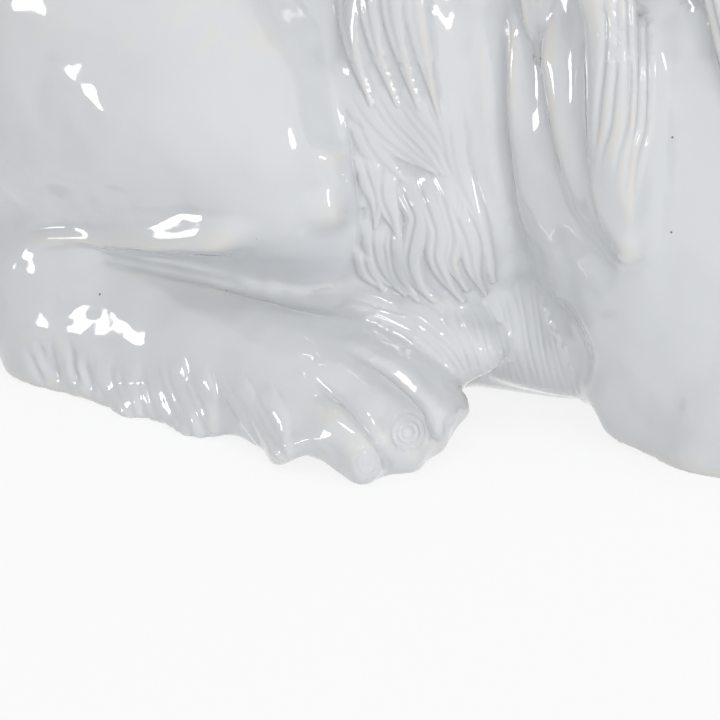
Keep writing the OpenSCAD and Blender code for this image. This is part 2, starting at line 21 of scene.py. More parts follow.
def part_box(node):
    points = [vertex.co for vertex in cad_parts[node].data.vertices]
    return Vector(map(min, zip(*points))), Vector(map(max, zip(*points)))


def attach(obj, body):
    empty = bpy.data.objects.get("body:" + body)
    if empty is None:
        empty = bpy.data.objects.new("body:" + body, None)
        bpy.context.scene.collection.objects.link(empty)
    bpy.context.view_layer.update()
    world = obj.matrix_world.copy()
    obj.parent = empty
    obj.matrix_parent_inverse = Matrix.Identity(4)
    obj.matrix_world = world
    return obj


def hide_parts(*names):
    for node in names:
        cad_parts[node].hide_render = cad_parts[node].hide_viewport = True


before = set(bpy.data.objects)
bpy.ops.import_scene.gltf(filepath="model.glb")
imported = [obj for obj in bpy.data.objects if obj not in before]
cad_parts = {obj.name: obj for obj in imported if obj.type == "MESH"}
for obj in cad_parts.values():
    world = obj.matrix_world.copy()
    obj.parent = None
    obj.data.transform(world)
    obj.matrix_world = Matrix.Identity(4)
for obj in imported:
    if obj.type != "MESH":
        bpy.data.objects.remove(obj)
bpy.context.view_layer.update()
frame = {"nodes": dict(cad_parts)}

MM = 0.001
TINY = 1e-9
PLATE = "underside_plate"
WHITE = (1.0, 1.0, 1.0, 1.0)
log = logging.getLogger("lion")

Pixel = tuple[float, float]
Point = tuple[float, float, float]
Span = tuple[float, float]
Line = tuple[Span, ...]

# Half length of a line that stands for a place, and the ends of a stroke that doesn't fade.
DOT = 0.1
EVEN = (0.0, 0.0)


class Space(Enum):
    """Where a stroke's points are given."""

    PHOTO = "pixels of the photograph's frame"
    FRONT = "millimetres across and up, as the lion is seen from in front"
    SIDE = "millimetres along and up, as the lion is seen from its right"


class Edge(Enum):
    """Cross section of a stroke."""

    ROUND = "a soft swell"
    LEAF = "an arch with crisp sides and a pointed tip, over what it covers"


# Camera

@dataclass(frozen=True)
class PhotoView:
    """The photograph's viewpoint, which also carries strokes drawn in its pixels onto the lion."""

    azimuth: float = 26.0
    elevation: float = 18.0
    pixel_size: float = 0.26
    frame_pixels: float = 720.0
    anchor_pixel: Pixel = (360.0, 485.0)
    anchor_point: Point = (-37.0, -115.0, 0.0)
    distance: float = 3000.0
    sensor: float = 36.0
    clip_end: float = 100.0

    def axes(self) -> tuple[np.ndarray, np.ndarray, np.ndarray]:
        """Directions of the view.

        Returns:
            Unit vectors to the right, up and back towards the camera.
        """
        a, e = math.radians(self.azimuth), math.radians(self.elevation)
        back = np.array((math.sin(a) * math.cos(e), -math.cos(a) * math.cos(e), math.sin(e)))
        right = np.array((math.cos(a), math.sin(a), 0.0))
        return right, np.cross(back, right), back

    def target(self) -> np.ndarray:
        """Where the camera looks.

        Returns:
            The point at the middle of the frame, in millimetres.
        """
        right, up, _ = self.axes()
        middle = self.frame_pixels / 2
        across = (middle - self.anchor_pixel[0]) * self.pixel_size
        rise = (self.anchor_pixel[1] - middle) * self.pixel_size
        return np.array(self.anchor_point) + across * right + rise * up

    def project(self, points: np.ndarray) -> np.ndarray:
        """Pixels at which points show.

        Args:
            points: Points in millimetres, one a row.

        Returns:
            Pixel columns and rows, one pair a row.
        """
        right, up, back = self.axes()
        local = points - self.target()
        scale = self.distance / (self.distance - local @ back) / self.pixel_size
        middle = self.frame_pixels / 2
        return np.stack((middle + local @ right * scale, middle - local @ up * scale), 1)

    def ray(self, pixel: Pixel) -> tuple[np.ndarray, np.ndarray]:
        """The line of sight through a pixel.

        Args:
            pixel: Column and row in the photograph's frame.

        Returns:
            The camera's place, and the direction from it.
        """
        right, up, back = self.axes()
        middle = self.frame_pixels / 2
        start = self.target() + self.distance * back
        way = (pixel[0] - middle) * self.pixel_size * right + (middle - pixel[1]) * self.pixel_size * up
        return start, way - self.distance * back

    def make_camera(self) -> None:
        """Adds the scene's camera at this view."""
        camera = bpy.data.cameras.new("photo_camera")
        camera.sensor_width = self.sensor
        camera.lens = self.sensor * self.distance / (self.frame_pixels * self.pixel_size)
        camera.clip_end = self.clip_end
        thing = bpy.data.objects.new("photo_camera", camera)
        bpy.context.scene.collection.objects.link(thing)
        back = Vector(self.axes()[2])
        thing.location = (Vector(self.target()) + back * self.distance) * MM
        thing.rotation_mode = "QUATERNION"
        thing.rotation_quaternion = (-back).to_track_quat("-Z", "Y")
        bpy.context.scene.camera = thing


# Finishes

class Socket:
    """A shader value, so that maths on it reads as maths."""

    def __init__(self, shader: "Shader", link: Any) -> None:
        """Keeps the shader it belongs to and the output socket, or a number."""
        self.shader = shader
        self.link = link

    def _math(self, operation: str, first: Any, second: Any = None) -> "Socket":
        """Adds a Math node and returns its value."""
        return self.shader.node("ShaderNodeMath", {"operation": operation}, {0: first, 1: second})

    def __add__(self, other: Any) -> "Socket":
        """Sum."""
        return self._math("ADD", self, other)

    __radd__ = __add__

    def __sub__(self, other: Any) -> "Socket":
        """Difference."""
        return self._math("SUBTRACT", self, other)

    def __rsub__(self, other: Any) -> "Socket":
        """Difference from a number."""
        return self._math("SUBTRACT", other, self)

    def __mul__(self, other: Any) -> "Socket":
        """Product."""
        return self._math("MULTIPLY", self, other)

    __rmul__ = __mul__

    def __gt__(self, other: Any) -> "Socket":
        """One where it is greater, otherwise zero."""
        return self._math("GREATER_THAN", self, other)

    def __lt__(self, other: Any) -> "Socket":
        """One where it is less, otherwise zero."""
        return self._math("LESS_THAN", self, other)


class Shader:
    """Builds one material or world from nodes."""

    mix_inputs = (6, 7)
    mix_output = 2

    def __init__(self, owner: Any) -> None:
        """Clears the owner's nodes.

        Args:
            owner: A material or a world.
        """
        owner.use_nodes = True
        self.tree = owner.node_tree
        self.tree.nodes.clear()

    def node(self, kind: str, settings: dict[str, Any], inputs: dict[Any, Any], output: Any = 0) -> Socket:
        """Adds a node.

        Args:
            kind: The node's type.
            settings: Its settings, set first.
            inputs: Values or sockets for its inputs.
            output: Which output to return.

        Returns:
            That output.
        """
        made = self.tree.nodes.new(kind)
        for name, value in settings.items():
            setattr(made, name, value)
        for name, value in inputs.items():
            if isinstance(value, Socket):
                self.tree.links.new(value.link, made.inputs[name])
            elif value is not None:
                made.inputs[name].default_value = value
        return Socket(self, made.outputs[output] if made.outputs else None)

    def smooth(self, value: Socket, low: float, high: float) -> Socket:
        """Returns a smooth step from 0 at low to 1 at high."""
        return self.node("ShaderNodeMapRange", {"interpolation_type": "SMOOTHSTEP"},
                         {"Value": value, "From Min": low, "From Max": high})

    def mix(self, share: Any, first: Any, second: Any) -> Socket:
        """Returns a colour between two others."""
        inputs = {"Factor": share, **dict(zip(self.mix_inputs, (first, second)))}
        return self.node("ShaderNodeMix", {"data_type": "RGBA"}, inputs, self.mix_output)

    def noise(self, place: Socket, scale: float, detail: float) -> Socket:
        """Returns soft noise between 0 and 1."""
        return self.node("ShaderNodeTexNoise", {}, {"Vector": place, "Scale": scale, "Detail": detail})

    def place(self) -> Socket:
        """Returns the Object coordinates."""
        return self.node("ShaderNodeTexCoord", {}, {}, "Object")

    def background_rays(self) -> Socket:
        """Tells the rays that show the background as it looks from those that carry light.

        Returns:
            One for the former and zero for the latter.
        """
        rays = [self.node("ShaderNodeLightPath", {}, {}, f"Is {kind} Ray")
                for kind in ("Camera", "Glossy", "Transmission")]
        return rays[0] + rays[1] + rays[2]

    def surface(self, shader: Socket) -> None:
        """Links a shader to the output.

        Args:
            shader: The material's or the world's shader.
        """
        world = isinstance(self.tree.id_data, bpy.types.World)
        kind = "ShaderNodeOutputWorld" if world else "ShaderNodeOutputMaterial"
        self.node(kind, {}, {"Surface": shader})


@dataclass(frozen=True)
class GlazedPorcelain:
    """White bodied porcelain under a thick clear glaze, cream on the crests and blue where it pools.

    Cloud and broad are noises, given by scale and detail, and a ripple has a share too. Steps are where a
    mask starts and ends. Roughness is the least, and what the cloud adds.
    """

    name: str = "glazed_porcelain"
    body: Point = (0.640, 0.655, 0.675)
    crest: Point = (0.68, 0.655, 0.61)
    pool: Point = (0.59, 0.607, 0.628)
    fleck: Point = (0.16, 0.16, 0.17)
    cloud: Span = (38.0, 3.0)
    broad: Span = (9.0, 2.0)
    crest_steps: Span = (0.10, 0.55)
    cloud_steps: Span = (0.30, 0.62)
    pool_steps: Span = (0.05, 0.55)
    broad_steps: Span = (0.42, 0.66)
    crest_share: float = 0.6
    broad_share: float = 0.30
    pinhole_cells: float = 85.0
    pinhole_size: float = 0.028
    pinhole_chance: float = 0.86
    ripple: float = 0.06
    ripple_depth: float = 0.004
    ripples: tuple[Point, Point] = ((95.0, 2.0, 0.6), (240.0, 1.0, 0.16))
    roughness: Span = (0.055, 0.05)
    ior: float = 1.5
    coat_roughness: float = 0.03

    def material(self) -> bpy.types.Material:
        """Makes the finish.

        Returns:
            Its material.
        """
        made = bpy.data.materials.new(self.name)
        s = Shader(made)
        place = s.place()
        relief = s.node("ShaderNodeAttribute", {"attribute_name": "relief"}, {}, "Fac")
        cloud = s.noise(place, *self.cloud)
        broad = s.noise(place, *self.broad)
        crest = s.smooth(relief, *self.crest_steps) * s.smooth(cloud, *self.cloud_steps)
        pool = s.smooth(0.0 - relief, *self.pool_steps)
        colour = s.mix(pool, (*self.body, 1.0), (*self.pool, 1.0))
        colour = s.mix(s.smooth(broad, *self.broad_steps) * self.broad_share, colour, (*self.pool, 1.0))
        colour = s.mix(crest * self.crest_share, colour, (*self.crest, 1.0))
        cell, odd = (s.node("ShaderNodeTexVoronoi", {"feature": "F1"},
                            {"Vector": place, "Scale": self.pinhole_cells}, output)
                     for output in ("Distance", "Color"))
        chance = s.node("ShaderNodeSeparateColor", {}, {"Color": odd}, "Red")
        pinhole = (cell < self.pinhole_size) * (chance > self.pinhole_chance)
        colour = s.mix(pinhole, colour, (*self.fleck, 1.0))
        wide, fine = (s.noise(place, scale, detail) * share for scale, detail, share in self.ripples)
        bump = s.node("ShaderNodeBump", {}, {
            "Strength": self.ripple, "Distance": self.ripple_depth, "Height": wide + fine})
        least, more = self.roughness
        s.surface(s.node("ShaderNodeBsdfPrincipled", {}, {
            "Base Color": colour, "Roughness": least + cloud * more, "Normal": bump, "IOR": self.ior,
            "Coat Weight": 1.0, "Coat Roughness": self.coat_roughness, "Coat IOR": self.ior}))
        return made


@dataclass(frozen=True)
class BareClay:
    """Fired clay without glaze, on the plate under the belly.

    Grain and cloud are noises, given by scale and detail. Roughness is the least, and what the grain adds.
    """

    name: str = "bare_clay"
    body: Point = (0.66, 0.63, 0.58)
    stain: Point = (0.54, 0.49, 0.43)
    grain: Span = (900.0, 3.0)
    cloud: Span = (40.0, 4.0)
    stain_steps: Span = (0.38, 0.70)
    bump: float = 0.25
    bump_depth: float = 0.001
    roughness: Span = (0.72, 0.2)

    def material(self) -> bpy.types.Material:
        """Makes the finish.

        Returns:
            Its material.
        """
        made = bpy.data.materials.new(self.name)
        s = Shader(made)
        place = s.place()
        grain = s.noise(place, *self.grain)
        stain = s.smooth(s.noise(place, *self.cloud), *self.stain_steps)
        colour = s.mix(stain, (*self.body, 1.0), (*self.stain, 1.0))
        bump = s.node("ShaderNodeBump", {}, {
            "Strength": self.bump, "Distance": self.bump_depth, "Height": grain})
        least, more = self.roughness
        s.surface(s.node("ShaderNodeBsdfPrincipled", {}, {
            "Base Color": colour, "Roughness": least + grain * more, "Normal": bump}))
        return made


@dataclass(frozen=True)
class StudioPaper:
    """White paper that the lion lies on, which shows as plain white and keeps a soft shadow."""

    name: str = "studio_paper"
    colour: Point = (0.86, 0.87, 0.88)
    glow: float = 0.86

    def material(self) -> bpy.types.Material:
        """Makes the finish.

        Returns:
            Its material.
        """
        made = bpy.data.materials.new(self.name)
        s = Shader(made)
        seen = s.background_rays()
        paper = s.node("ShaderNodeBsdfDiffuse", {}, {"Color": (*self.colour, 1.0)})
        white = s.node("ShaderNodeEmission", {}, {"Color": WHITE, "Strength": 1.0})
        s.surface(s.node("ShaderNodeMixShader", {}, {0: seen * self.glow, 1: paper, 2: white}))
        return made


# Sculpting

def read(items: Any, key: str, kind: type = np.int32, columns: int = 1) -> np.ndarray:
    """Reads one property of all the items of a mesh.

    Args:
        items: The mesh's vertices, edges, faces or values of an attribute.
        key: The property.
        kind: Type of its numbers.
        columns: How many numbers it has.

    Returns:
        The numbers, an item a row where there are several columns.
    """
    values = np.empty(len(items) * columns, kind)
    items.foreach_get(key, values)
    return values if columns == 1 else values.reshape(-1, columns)


def curve(points: Sequence[Sequence[float]], steps: int = 6) -> np.ndarray:
    """A smooth line through points.

    Args:
        points: The points, in pixels or millimetres.
        steps: Pieces that each span is cut into.

    Returns:
        The line's points, one a row.
    """
    p = np.asarray(points, float)
    if len(p) < 3:
        return p
    p = np.vstack((2 * p[0] - p[1], p, 2 * p[-1] - p[-2]))
    t = np.linspace(0.0, 1.0, steps, endpoint=False)[:, None]
    spans = []
    for a, b, c, d in zip(p[:-3], p[1:-2], p[2:-1], p[3:]):
        spans.append(0.5 * (2 * b + (c - a) * t + (2 * a - 5 * b + 4 * c - d) * t ** 2
                            + (3 * b - a - 3 * c + d) * t ** 3))
    return np.vstack((*spans, p[-2]))


def nearest_on_line(places: np.ndarray, line: np.ndarray) -> tuple[np.ndarray, np.ndarray]:
    """How far places are from a line, and how far along it.

    Args:
        places: Points, one a row.
        line: The line's points, one a row.

    Returns:
        Distances, and shares of the line's length.
    """
    steps = np.linalg.norm(np.diff(line, axis=0), axis=1)
    starts = np.concatenate(((0.0,), np.cumsum(steps)))
    best = np.full(len(places), np.inf)
    along = np.zeros(len(places))
    for a, b, length, start in zip(line[:-1], line[1:], steps, starts):
        if length == 0.0:
            continue
        t = np.clip((places - a) @ (b - a) / length ** 2, 0.0, 1.0)
        gap = np.linalg.norm(places - a - t[:, None] * (b - a), axis=1)
        closer = gap < best
        best[closer] = gap[closer]
        along[closer] = start + t[closer] * length
    return best, along / max(starts[-1], TINY)


def rise_between(values: np.ndarray, low: float, high: float) -> np.ndarray:
    """Returns a smooth step from 0 at low to 1 at high."""
    t = np.clip((values - low) / (high - low), 0.0, 1.0)
    return t * t * (3.0 - 2.0 * t)


@dataclass(frozen=True)
class Strokes:
    """Strokes of the modelling tool, alike but for their lines.

    The width is half a stroke's, in the units of its points. The height is in millimetres and is negative
    for a groove. Ends gives the shares of the length over which a round stroke fades in and out, or for a
    leaf the share over which it rises and how much it thins. Strokes move the skin along its normals, or
    straight up.
    """

    lines: tuple[Line, ...]
    width: float
    height: float
    nodes: tuple[str, ...]
    space: Space = Space.PHOTO
    edge: Edge = Edge.ROUND
    ends: Span = (0.2, 0.3)
    upward: bool = False


class Skin:
    """The lion's surface as one mesh, with its points in millimetres."""

    def __init__(self, mesh: bpy.types.Mesh) -> None:
        """Takes a mesh in metres."""
        self.mesh = mesh
        self.pull()

    def pull(self) -> None:
        """Reads the points and edges from the mesh."""
        self.points = read(self.mesh.vertices, "co", np.float32, 3).astype(float) / MM
        self.pairs = read(self.mesh.edges, "vertices", columns=2)

    def push(self) -> None:
        """Writes the points to the mesh."""
        self.mesh.vertices.foreach_set("co", (self.points * MM).astype(np.float32).ravel())
        self.mesh.update()

    def normals(self) -> np.ndarray:
        """Returns the unit normals of the points."""
        self.push()
        return read(self.mesh.vertex_normals, "vector", np.float32, 3).astype(float)

    def neighbour_mean(self, values: np.ndarray) -> np.ndarray:
        """Means over each point's neighbours.

        Args:
            values: Values at the points, one or several for each.

        Returns:
            The means, laid out as the values are.
        """
        a, b = self.pairs.T
        count = len(self.points)
        degree = np.maximum(np.bincount(a, minlength=count) + np.bincount(b, minlength=count), 1)
        columns = values.reshape(count, -1).T
        means = [(np.bincount(a, c[b], count) + np.bincount(b, c[a], count)) / degree for c in columns]
        return np.stack(means, 1).reshape(values.shape)

    def blur(self, values: np.ndarray, rounds: int) -> np.ndarray:
        """Mixes values with those of the neighbours.

        Args:
            values: Values at the points, one or several for each.
            rounds: How many times.

        Returns:
            The mixed values.
        """
        for _ in range(rounds):
            values = 0.5 * values + 0.5 * self.neighbour_mean(values)
        return values

    def smooth(self, rounds: int, weight: np.ndarray | float = 1.0) -> None:
        """Smooths the surface.

        Args:
            rounds: How many times.
            weight: How far each point follows its neighbours, 0 to 1.
        """
        share = 0.5 * np.broadcast_to(weight, len(self.points))[:, None]
        for _ in range(rounds):
            self.points += share * (self.neighbour_mean(self.points) - self.points)

    def stay_over_ground(self) -> None:
        """Lifts what lies below the ground to it."""
        self.points[:, 2] = np.maximum(self.points[:, 2], 0.0)

    def corners(self) -> tuple[np.ndarray, np.ndarray, np.ndarray]:
        """Returns the points of the faces' corners, and each face's first corner and count of corners."""
        faces = self.mesh.polygons
        return read(self.mesh.loops, "vertex_index"), read(faces, "loop_start"), read(faces, "loop_total")

    def face_numbers(self, name: str) -> np.ndarray:
        """Returns a whole-number attribute of the faces."""
        return read(self.mesh.attributes[name].data, "value")

    def store(self, name: str, values: np.ndarray, kind: str, domain: str) -> None:
        """Writes an attribute of the mesh.

        Args:
            name: Its name.
            values: Its values, one for each point or face.
            kind: Its data type.
            domain: Whether points or faces carry it.
        """
        layer = self.mesh.attributes.get(name) or self.mesh.attributes.new(name, kind, domain)
        key = "vector" if kind == "FLOAT_VECTOR" else "value"
        layer.data.foreach_set(key, np.ascontiguousarray(values).ravel())

    def vectors(self, name: str) -> np.ndarray:
        """Returns a vector attribute of the points."""
        return read(self.mesh.attributes[name].data, "vector", np.float32, 3).astype(float)

    def refine(self, wanted: np.ndarray) -> None:
        """Cuts the edges between wanted points in two.

        Args:
            wanted: Which points lie in the part to refine.
        """
        self.push()
        bm = bmesh.new()
        bm.from_mesh(self.mesh)
        bm.verts.ensure_lookup_table()
        edges = [e for e in bm.edges if wanted[e.verts[0].index] and wanted[e.verts[1].index]]
        bmesh.ops.subdivide_edges(bm, edges=edges, cuts=1, use_grid_fill=True)
        bm.to_mesh(self.mesh)
        bm.free()
        self.pull()


class Sculptor:
    """Applies strokes to the skin, the same on both sides of the lion.

    Strokes straight up reach to the rim height, in millimetres. Facing steps are how far the skin has to look
    at the viewer to take a stroke. A leaf narrows to the leaf tip's share of its width, over the leaf point's
    share of its length.
    """

    rim_height = 16.0
    facing_steps = (0.02, 0.30)
    leaf_tip = 0.25
    leaf_point = 0.55
    near_core = 0.7

    def __init__(self, skin: Skin, view: PhotoView, node_names: Sequence[str]) -> None:
        """Takes a skin to work on.

        Args:
            skin: The skin.
            view: The photograph's view.
            node_names: The names behind the skin's casting numbers.
        """
        self.skin = skin
        self.view = view
        self.node_names = list(node_names)
        self.renew()

    def renew(self) -> None:
        """Works out again what the strokes are measured on, after the skin has changed."""
        points, normals = self.skin.points, self.skin.normals()
        side = np.where(points[:, 1] > 0.0, -1.0, 1.0)
        flip = np.stack((np.ones_like(side), side, np.ones_like(side)), 1)
        self.near_side = points * flip
        self.near_normals = normals * flip
        self.pixels = self.view.project(self.near_side)
        self.facing = rise_between(self.near_normals @ self.view.axes()[2], *self.facing_steps)
        self.ahead = rise_between(self.near_normals[:, 0], *self.facing_steps)
        aside = rise_between(-self.near_normals[:, 1], *self.facing_steps)
        self.seen = {
            Space.PHOTO: (self.pixels, self.facing),
            Space.FRONT: (self.near_side[:, 1:], self.ahead),
            Space.SIDE: (self.near_side[:, ::2], aside)}
        self.casting = Seams.spread(self.skin)
        self.heights = np.zeros(len(points))
        self.cover = np.zeros(len(points))
        self.lifts = np.zeros(len(points))
        self.masks: dict[tuple[str, ...], np.ndarray] = {}

    def on(self, names: tuple[str, ...]) -> np.ndarray:
        """Points on certain castings.

        Args:
            names: What the castings' names end in.

        Returns:
            Which points lie on one of them.
        """
        if names not in self.masks:
            wanted = [i for i, n in enumerate(self.node_names) if any(n.endswith(w) for w in names)]
            self.masks[names] = np.isin(self.casting, wanted)
        return self.masks[names]

    def draw(self, *sets: Strokes) -> None:
        """Adds strokes to the heights to come."""
        for kind in sets:
            for points in kind.lines:
                self.draw_line(curve(points), kind)

    def draw_line(self, line: np.ndarray, kind: Strokes) -> None:
        """Adds one stroke to the heights to come.

        Args:
            line: The stroke's smooth line.
            kind: How it is made.
        """
        places, facing = self.seen[kind.space]
        if kind.upward:
            facing = 1.0 - rise_between(self.near_side[:, 2], 0.5 * self.rim_height, self.rim_height)
        low, high = line.min(0) - kind.width, line.max(0) + kind.width
        hit = np.all((places > low) & (places < high), axis=1) & (facing > 0.0) & self.on(kind.nodes)
        which = np.flatnonzero(hit)
        if not len(which):
            return
        gap, along = nearest_on_line(places[which], line)
        root, tip = kind.ends
        if kind.edge is Edge.LEAF:
            pointed = rise_between(1.0 - along, 0.0, self.leaf_point)
            wide = kind.width * (self.leaf_tip + (1.0 - self.leaf_tip) * pointed)
            leaf = kind.height * np.sqrt(np.clip(1.0 - (gap / wide) ** 2, 0.0, 1.0))
            leaf *= rise_between(along, 0.0, root) * (1.0 - tip * along) * facing[which]
            self.cover[which] = np.maximum(self.cover[which], leaf)
            return
        reach = np.clip(1.0 - gap / kind.width, 0.0, 1.0)
        shape = 0.5 - 0.5 * np.cos(math.pi * reach)
        fade = facing[which].copy()
        if root > 0.0:
            fade *= rise_between(along, 0.0, root)
        if tip > 0.0:
            fade *= rise_between(1.0 - along, 0.0, tip)
        moved = self.lifts if kind.upward else self.heights
        moved[which] += kind.height * shape * fade

    def near(self, lines: Iterable[tuple[Line, float]]) -> np.ndarray:
        """Nearness to lines of the photograph.

        Args:
            lines: Lines in the photograph's pixels, each with a radius.

        Returns:
            A share for each point, 1 by a line and 0 from its radius on.
        """
        share = np.zeros(len(self.pixels))
        for line, radius in lines:
            gap, _ = nearest_on_line(self.pixels, curve(line))
            share = np.maximum(share, rise_between(1.0 - gap / radius, 0.0, self.near_core))
        return share

    def knead(self, height: float, size: float, share: np.ndarray) -> None:
        """Adds the soft unevenness of a hand-finished cast.

        Args:
            height: How far it goes in and out, in millimetres.
            size: Distance from lump to lump, in millimetres.
            share: How much of it each point takes.
        """
        lumps = np.array([noise.noise(Vector(place) / size) for place in self.skin.points])
        self.heights += height * share * lumps

    def press(self) -> None:
        """Moves the skin by the heights drawn so far, and keeps it over the ground."""
        normals = self.skin.normals()
        self.skin.points += (self.heights + self.cover)[:, None] * normals
        self.skin.points[:, 2] += self.lifts
        self.skin.stay_over_ground()
        self.renew()


# Clay forms

class Clay:
    """Forms that are fused into the skin: copies of the castings, and balls pushed into shape."""

    meridians = 16
    parallels = 14

    def __init__(self) -> None:
        """Starts without forms."""
        self.bm = bmesh.new()
        ball = bmesh.new()
        bmesh.ops.create_uvsphere(ball, u_segments=self.meridians, v_segments=self.parallels, radius=1.0)
        self.ball = bpy.data.meshes.new("ball")
        ball.to_mesh(self.ball)
        ball.free()
        self.ball_points = np.array([v.co for v in self.ball.vertices])

    def add_ball(self, points: np.ndarray) -> None:
        """Adds a ball whose points, in millimetres, have been pushed into place."""
        self.ball.vertices.foreach_set("co", (points * MM).astype(np.float32).ravel())
        self.bm.from_mesh(self.ball)

    def add_casting(self, mesh: bpy.types.Mesh, weld: float) -> None:
        """Adds a merged copy of a casting's loose triangles.

        Args:
            mesh: The casting's mesh.
            weld: Distance up to which points are merged, in metres.
        """
        part = bmesh.new()
        part.from_mesh(mesh)
        bmesh.ops.remove_doubles(part, verts=part.verts[:], dist=weld)
        copy = bpy.data.meshes.new("copy")
        part.to_mesh(copy)
        part.free()
        self.bm.from_mesh(copy)
        bpy.data.meshes.remove(copy)

    def finish(self) -> bpy.types.Mesh:
        """Ends the laying out.

        Returns:
            All the forms as one mesh.
        """
        made = bpy.data.meshes.new("clay")
        self.bm.to_mesh(made)
        self.bm.free()
        bpy.data.meshes.remove(self.ball)
        return made


@dataclass(frozen=True)
class Ball:
    """A ball of clay pressed to an ellipsoid, on the right and, off the middle plane, on the left too."""

    centre: Point
    radii: Point
    turn: Point = (0.0, 0.0, 0.0)
    margin: float = 1.5

    def axes(self, side: float) -> np.ndarray:
        """Returns the ball's axes as columns, on the right for side 1 and on the left for side -1."""
        a, b, c = (math.radians(d) for d in self.turn)
        return np.array(Matrix.Rotation(side * c, 3, "Z") @ Matrix.Rotation(b, 3, "Y")
                        @ Matrix.Rotation(side * a, 3, "X"))

    def add_to(self, clay: Clay) -> None:
        """Adds the ball to the clay."""
        for side in ((1.0,) if self.centre[1] == 0.0 else (1.0, -1.0)):
            place = np.array(self.centre) * (1.0, side, 1.0)
            clay.add_ball(clay.ball_points * self.radii @ self.axes(side).T + place)

    def holds(self, points: np.ndarray, side: float) -> np.ndarray:
        """Returns which points lie in the ball, or just outside it, on one side."""
        local = (points - np.array(self.centre) * (1.0, side, 1.0)) @ self.axes(side)
        return np.linalg.norm(local / (np.array(self.radii) + self.margin), axis=1) < 1.0


@dataclass
class Lock:
    """A lock of hair, a leaf of clay that follows a line on the lion and is combed along it."""

    line: np.ndarray
    outward: np.ndarray
    width: float
    thickness: float
    taper: float = 0.5
    grooves: float = 3.0
    depth: float = 0.8
    slimmest: float = 0.02
    face_steps: Span = (-0.2, 0.25)
    root_steps: Span = (0.02, 0.2)
    tip_steps: Span = (0.02, 0.25)
    reach: float = 0.45

    def at(self, share: np.ndarray) -> tuple[np.ndarray, np.ndarray, np.ndarray]:
        """Place, outward and sideways directions along the lock.

        Args:
            share: Shares of the lock's length, from its root.

        Returns:
            Points and two sets of unit vectors, one a row.
        """
        marks = np.linspace(0.0, 1.0, len(self.line))
        place = np.stack([np.interp(share, marks, c) for c in self.line.T], 1)
        out = np.stack([np.interp(share, marks, c) for c in self.outward.T], 1)
        way = np.stack([np.interp(share, marks, c) for c in np.gradient(self.line, axis=0).T], 1)
        side = np.cross(way, out)
        side /= np.linalg.norm(side, axis=1)[:, None]
        out = np.cross(side, way)
        return place, out / np.linalg.norm(out, axis=1)[:, None], side

    def add_to(self, clay: Clay) -> None:
        """Adds the lock to the clay.

        Args:
            clay: The clay.
        """
        ball = clay.ball_points
        share = 0.5 + 0.5 * ball[:, 2]
        place, out, side = self.at(share)
        slim = (1.0 - self.taper * share)[:, None]
        across = ball[:, :1] * self.width / 2 * side
        clay.add_ball(place + slim * (across + ball[:, 1:2] * self.thickness / 2 * out))

    def comb(self, points: np.ndarray) -> tuple[np.ndarray, np.ndarray, np.ndarray]:
        """Heights of the strands on the lock.

        Args:
            points: Points of the skin, in millimetres.

        Returns:
            Which points the lock reaches, how far each is off the lock's face, and their heights.
        """
        low, high = self.line.min(0) - self.width, self.line.max(0) + self.width
        which = np.flatnonzero(np.all((points > low) & (points < high), axis=1))
        if not len(which):
            return which, np.empty(0), np.empty(0)
        _, share = nearest_on_line(points[which], self.line)
        place, out, side = self.at(share)
        slim = np.sqrt(np.clip(1.0 - (2.0 * share - 1.0) ** 2, self.slimmest, 1.0))
        slim *= 1.0 - self.taper * share
        local = points[which] - place
        across = np.einsum("ij,ij->i", local, side) / (slim * self.width / 2)
        lift = np.einsum("ij,ij->i", local, out) / (slim * self.thickness / 2)
        off = np.abs(np.hypot(across, lift) - 1.0)
        strands = 0.5 * np.cos(math.pi * self.grooves * across) - 0.5
        fade = rise_between(lift, *self.face_steps) * rise_between(share, *self.root_steps)
        fade *= rise_between(1.0 - share, *self.tip_steps)
        keep = (off < self.reach) & (fade > 0.0)
        return which[keep], off[keep], (self.depth * strands * fade)[keep]


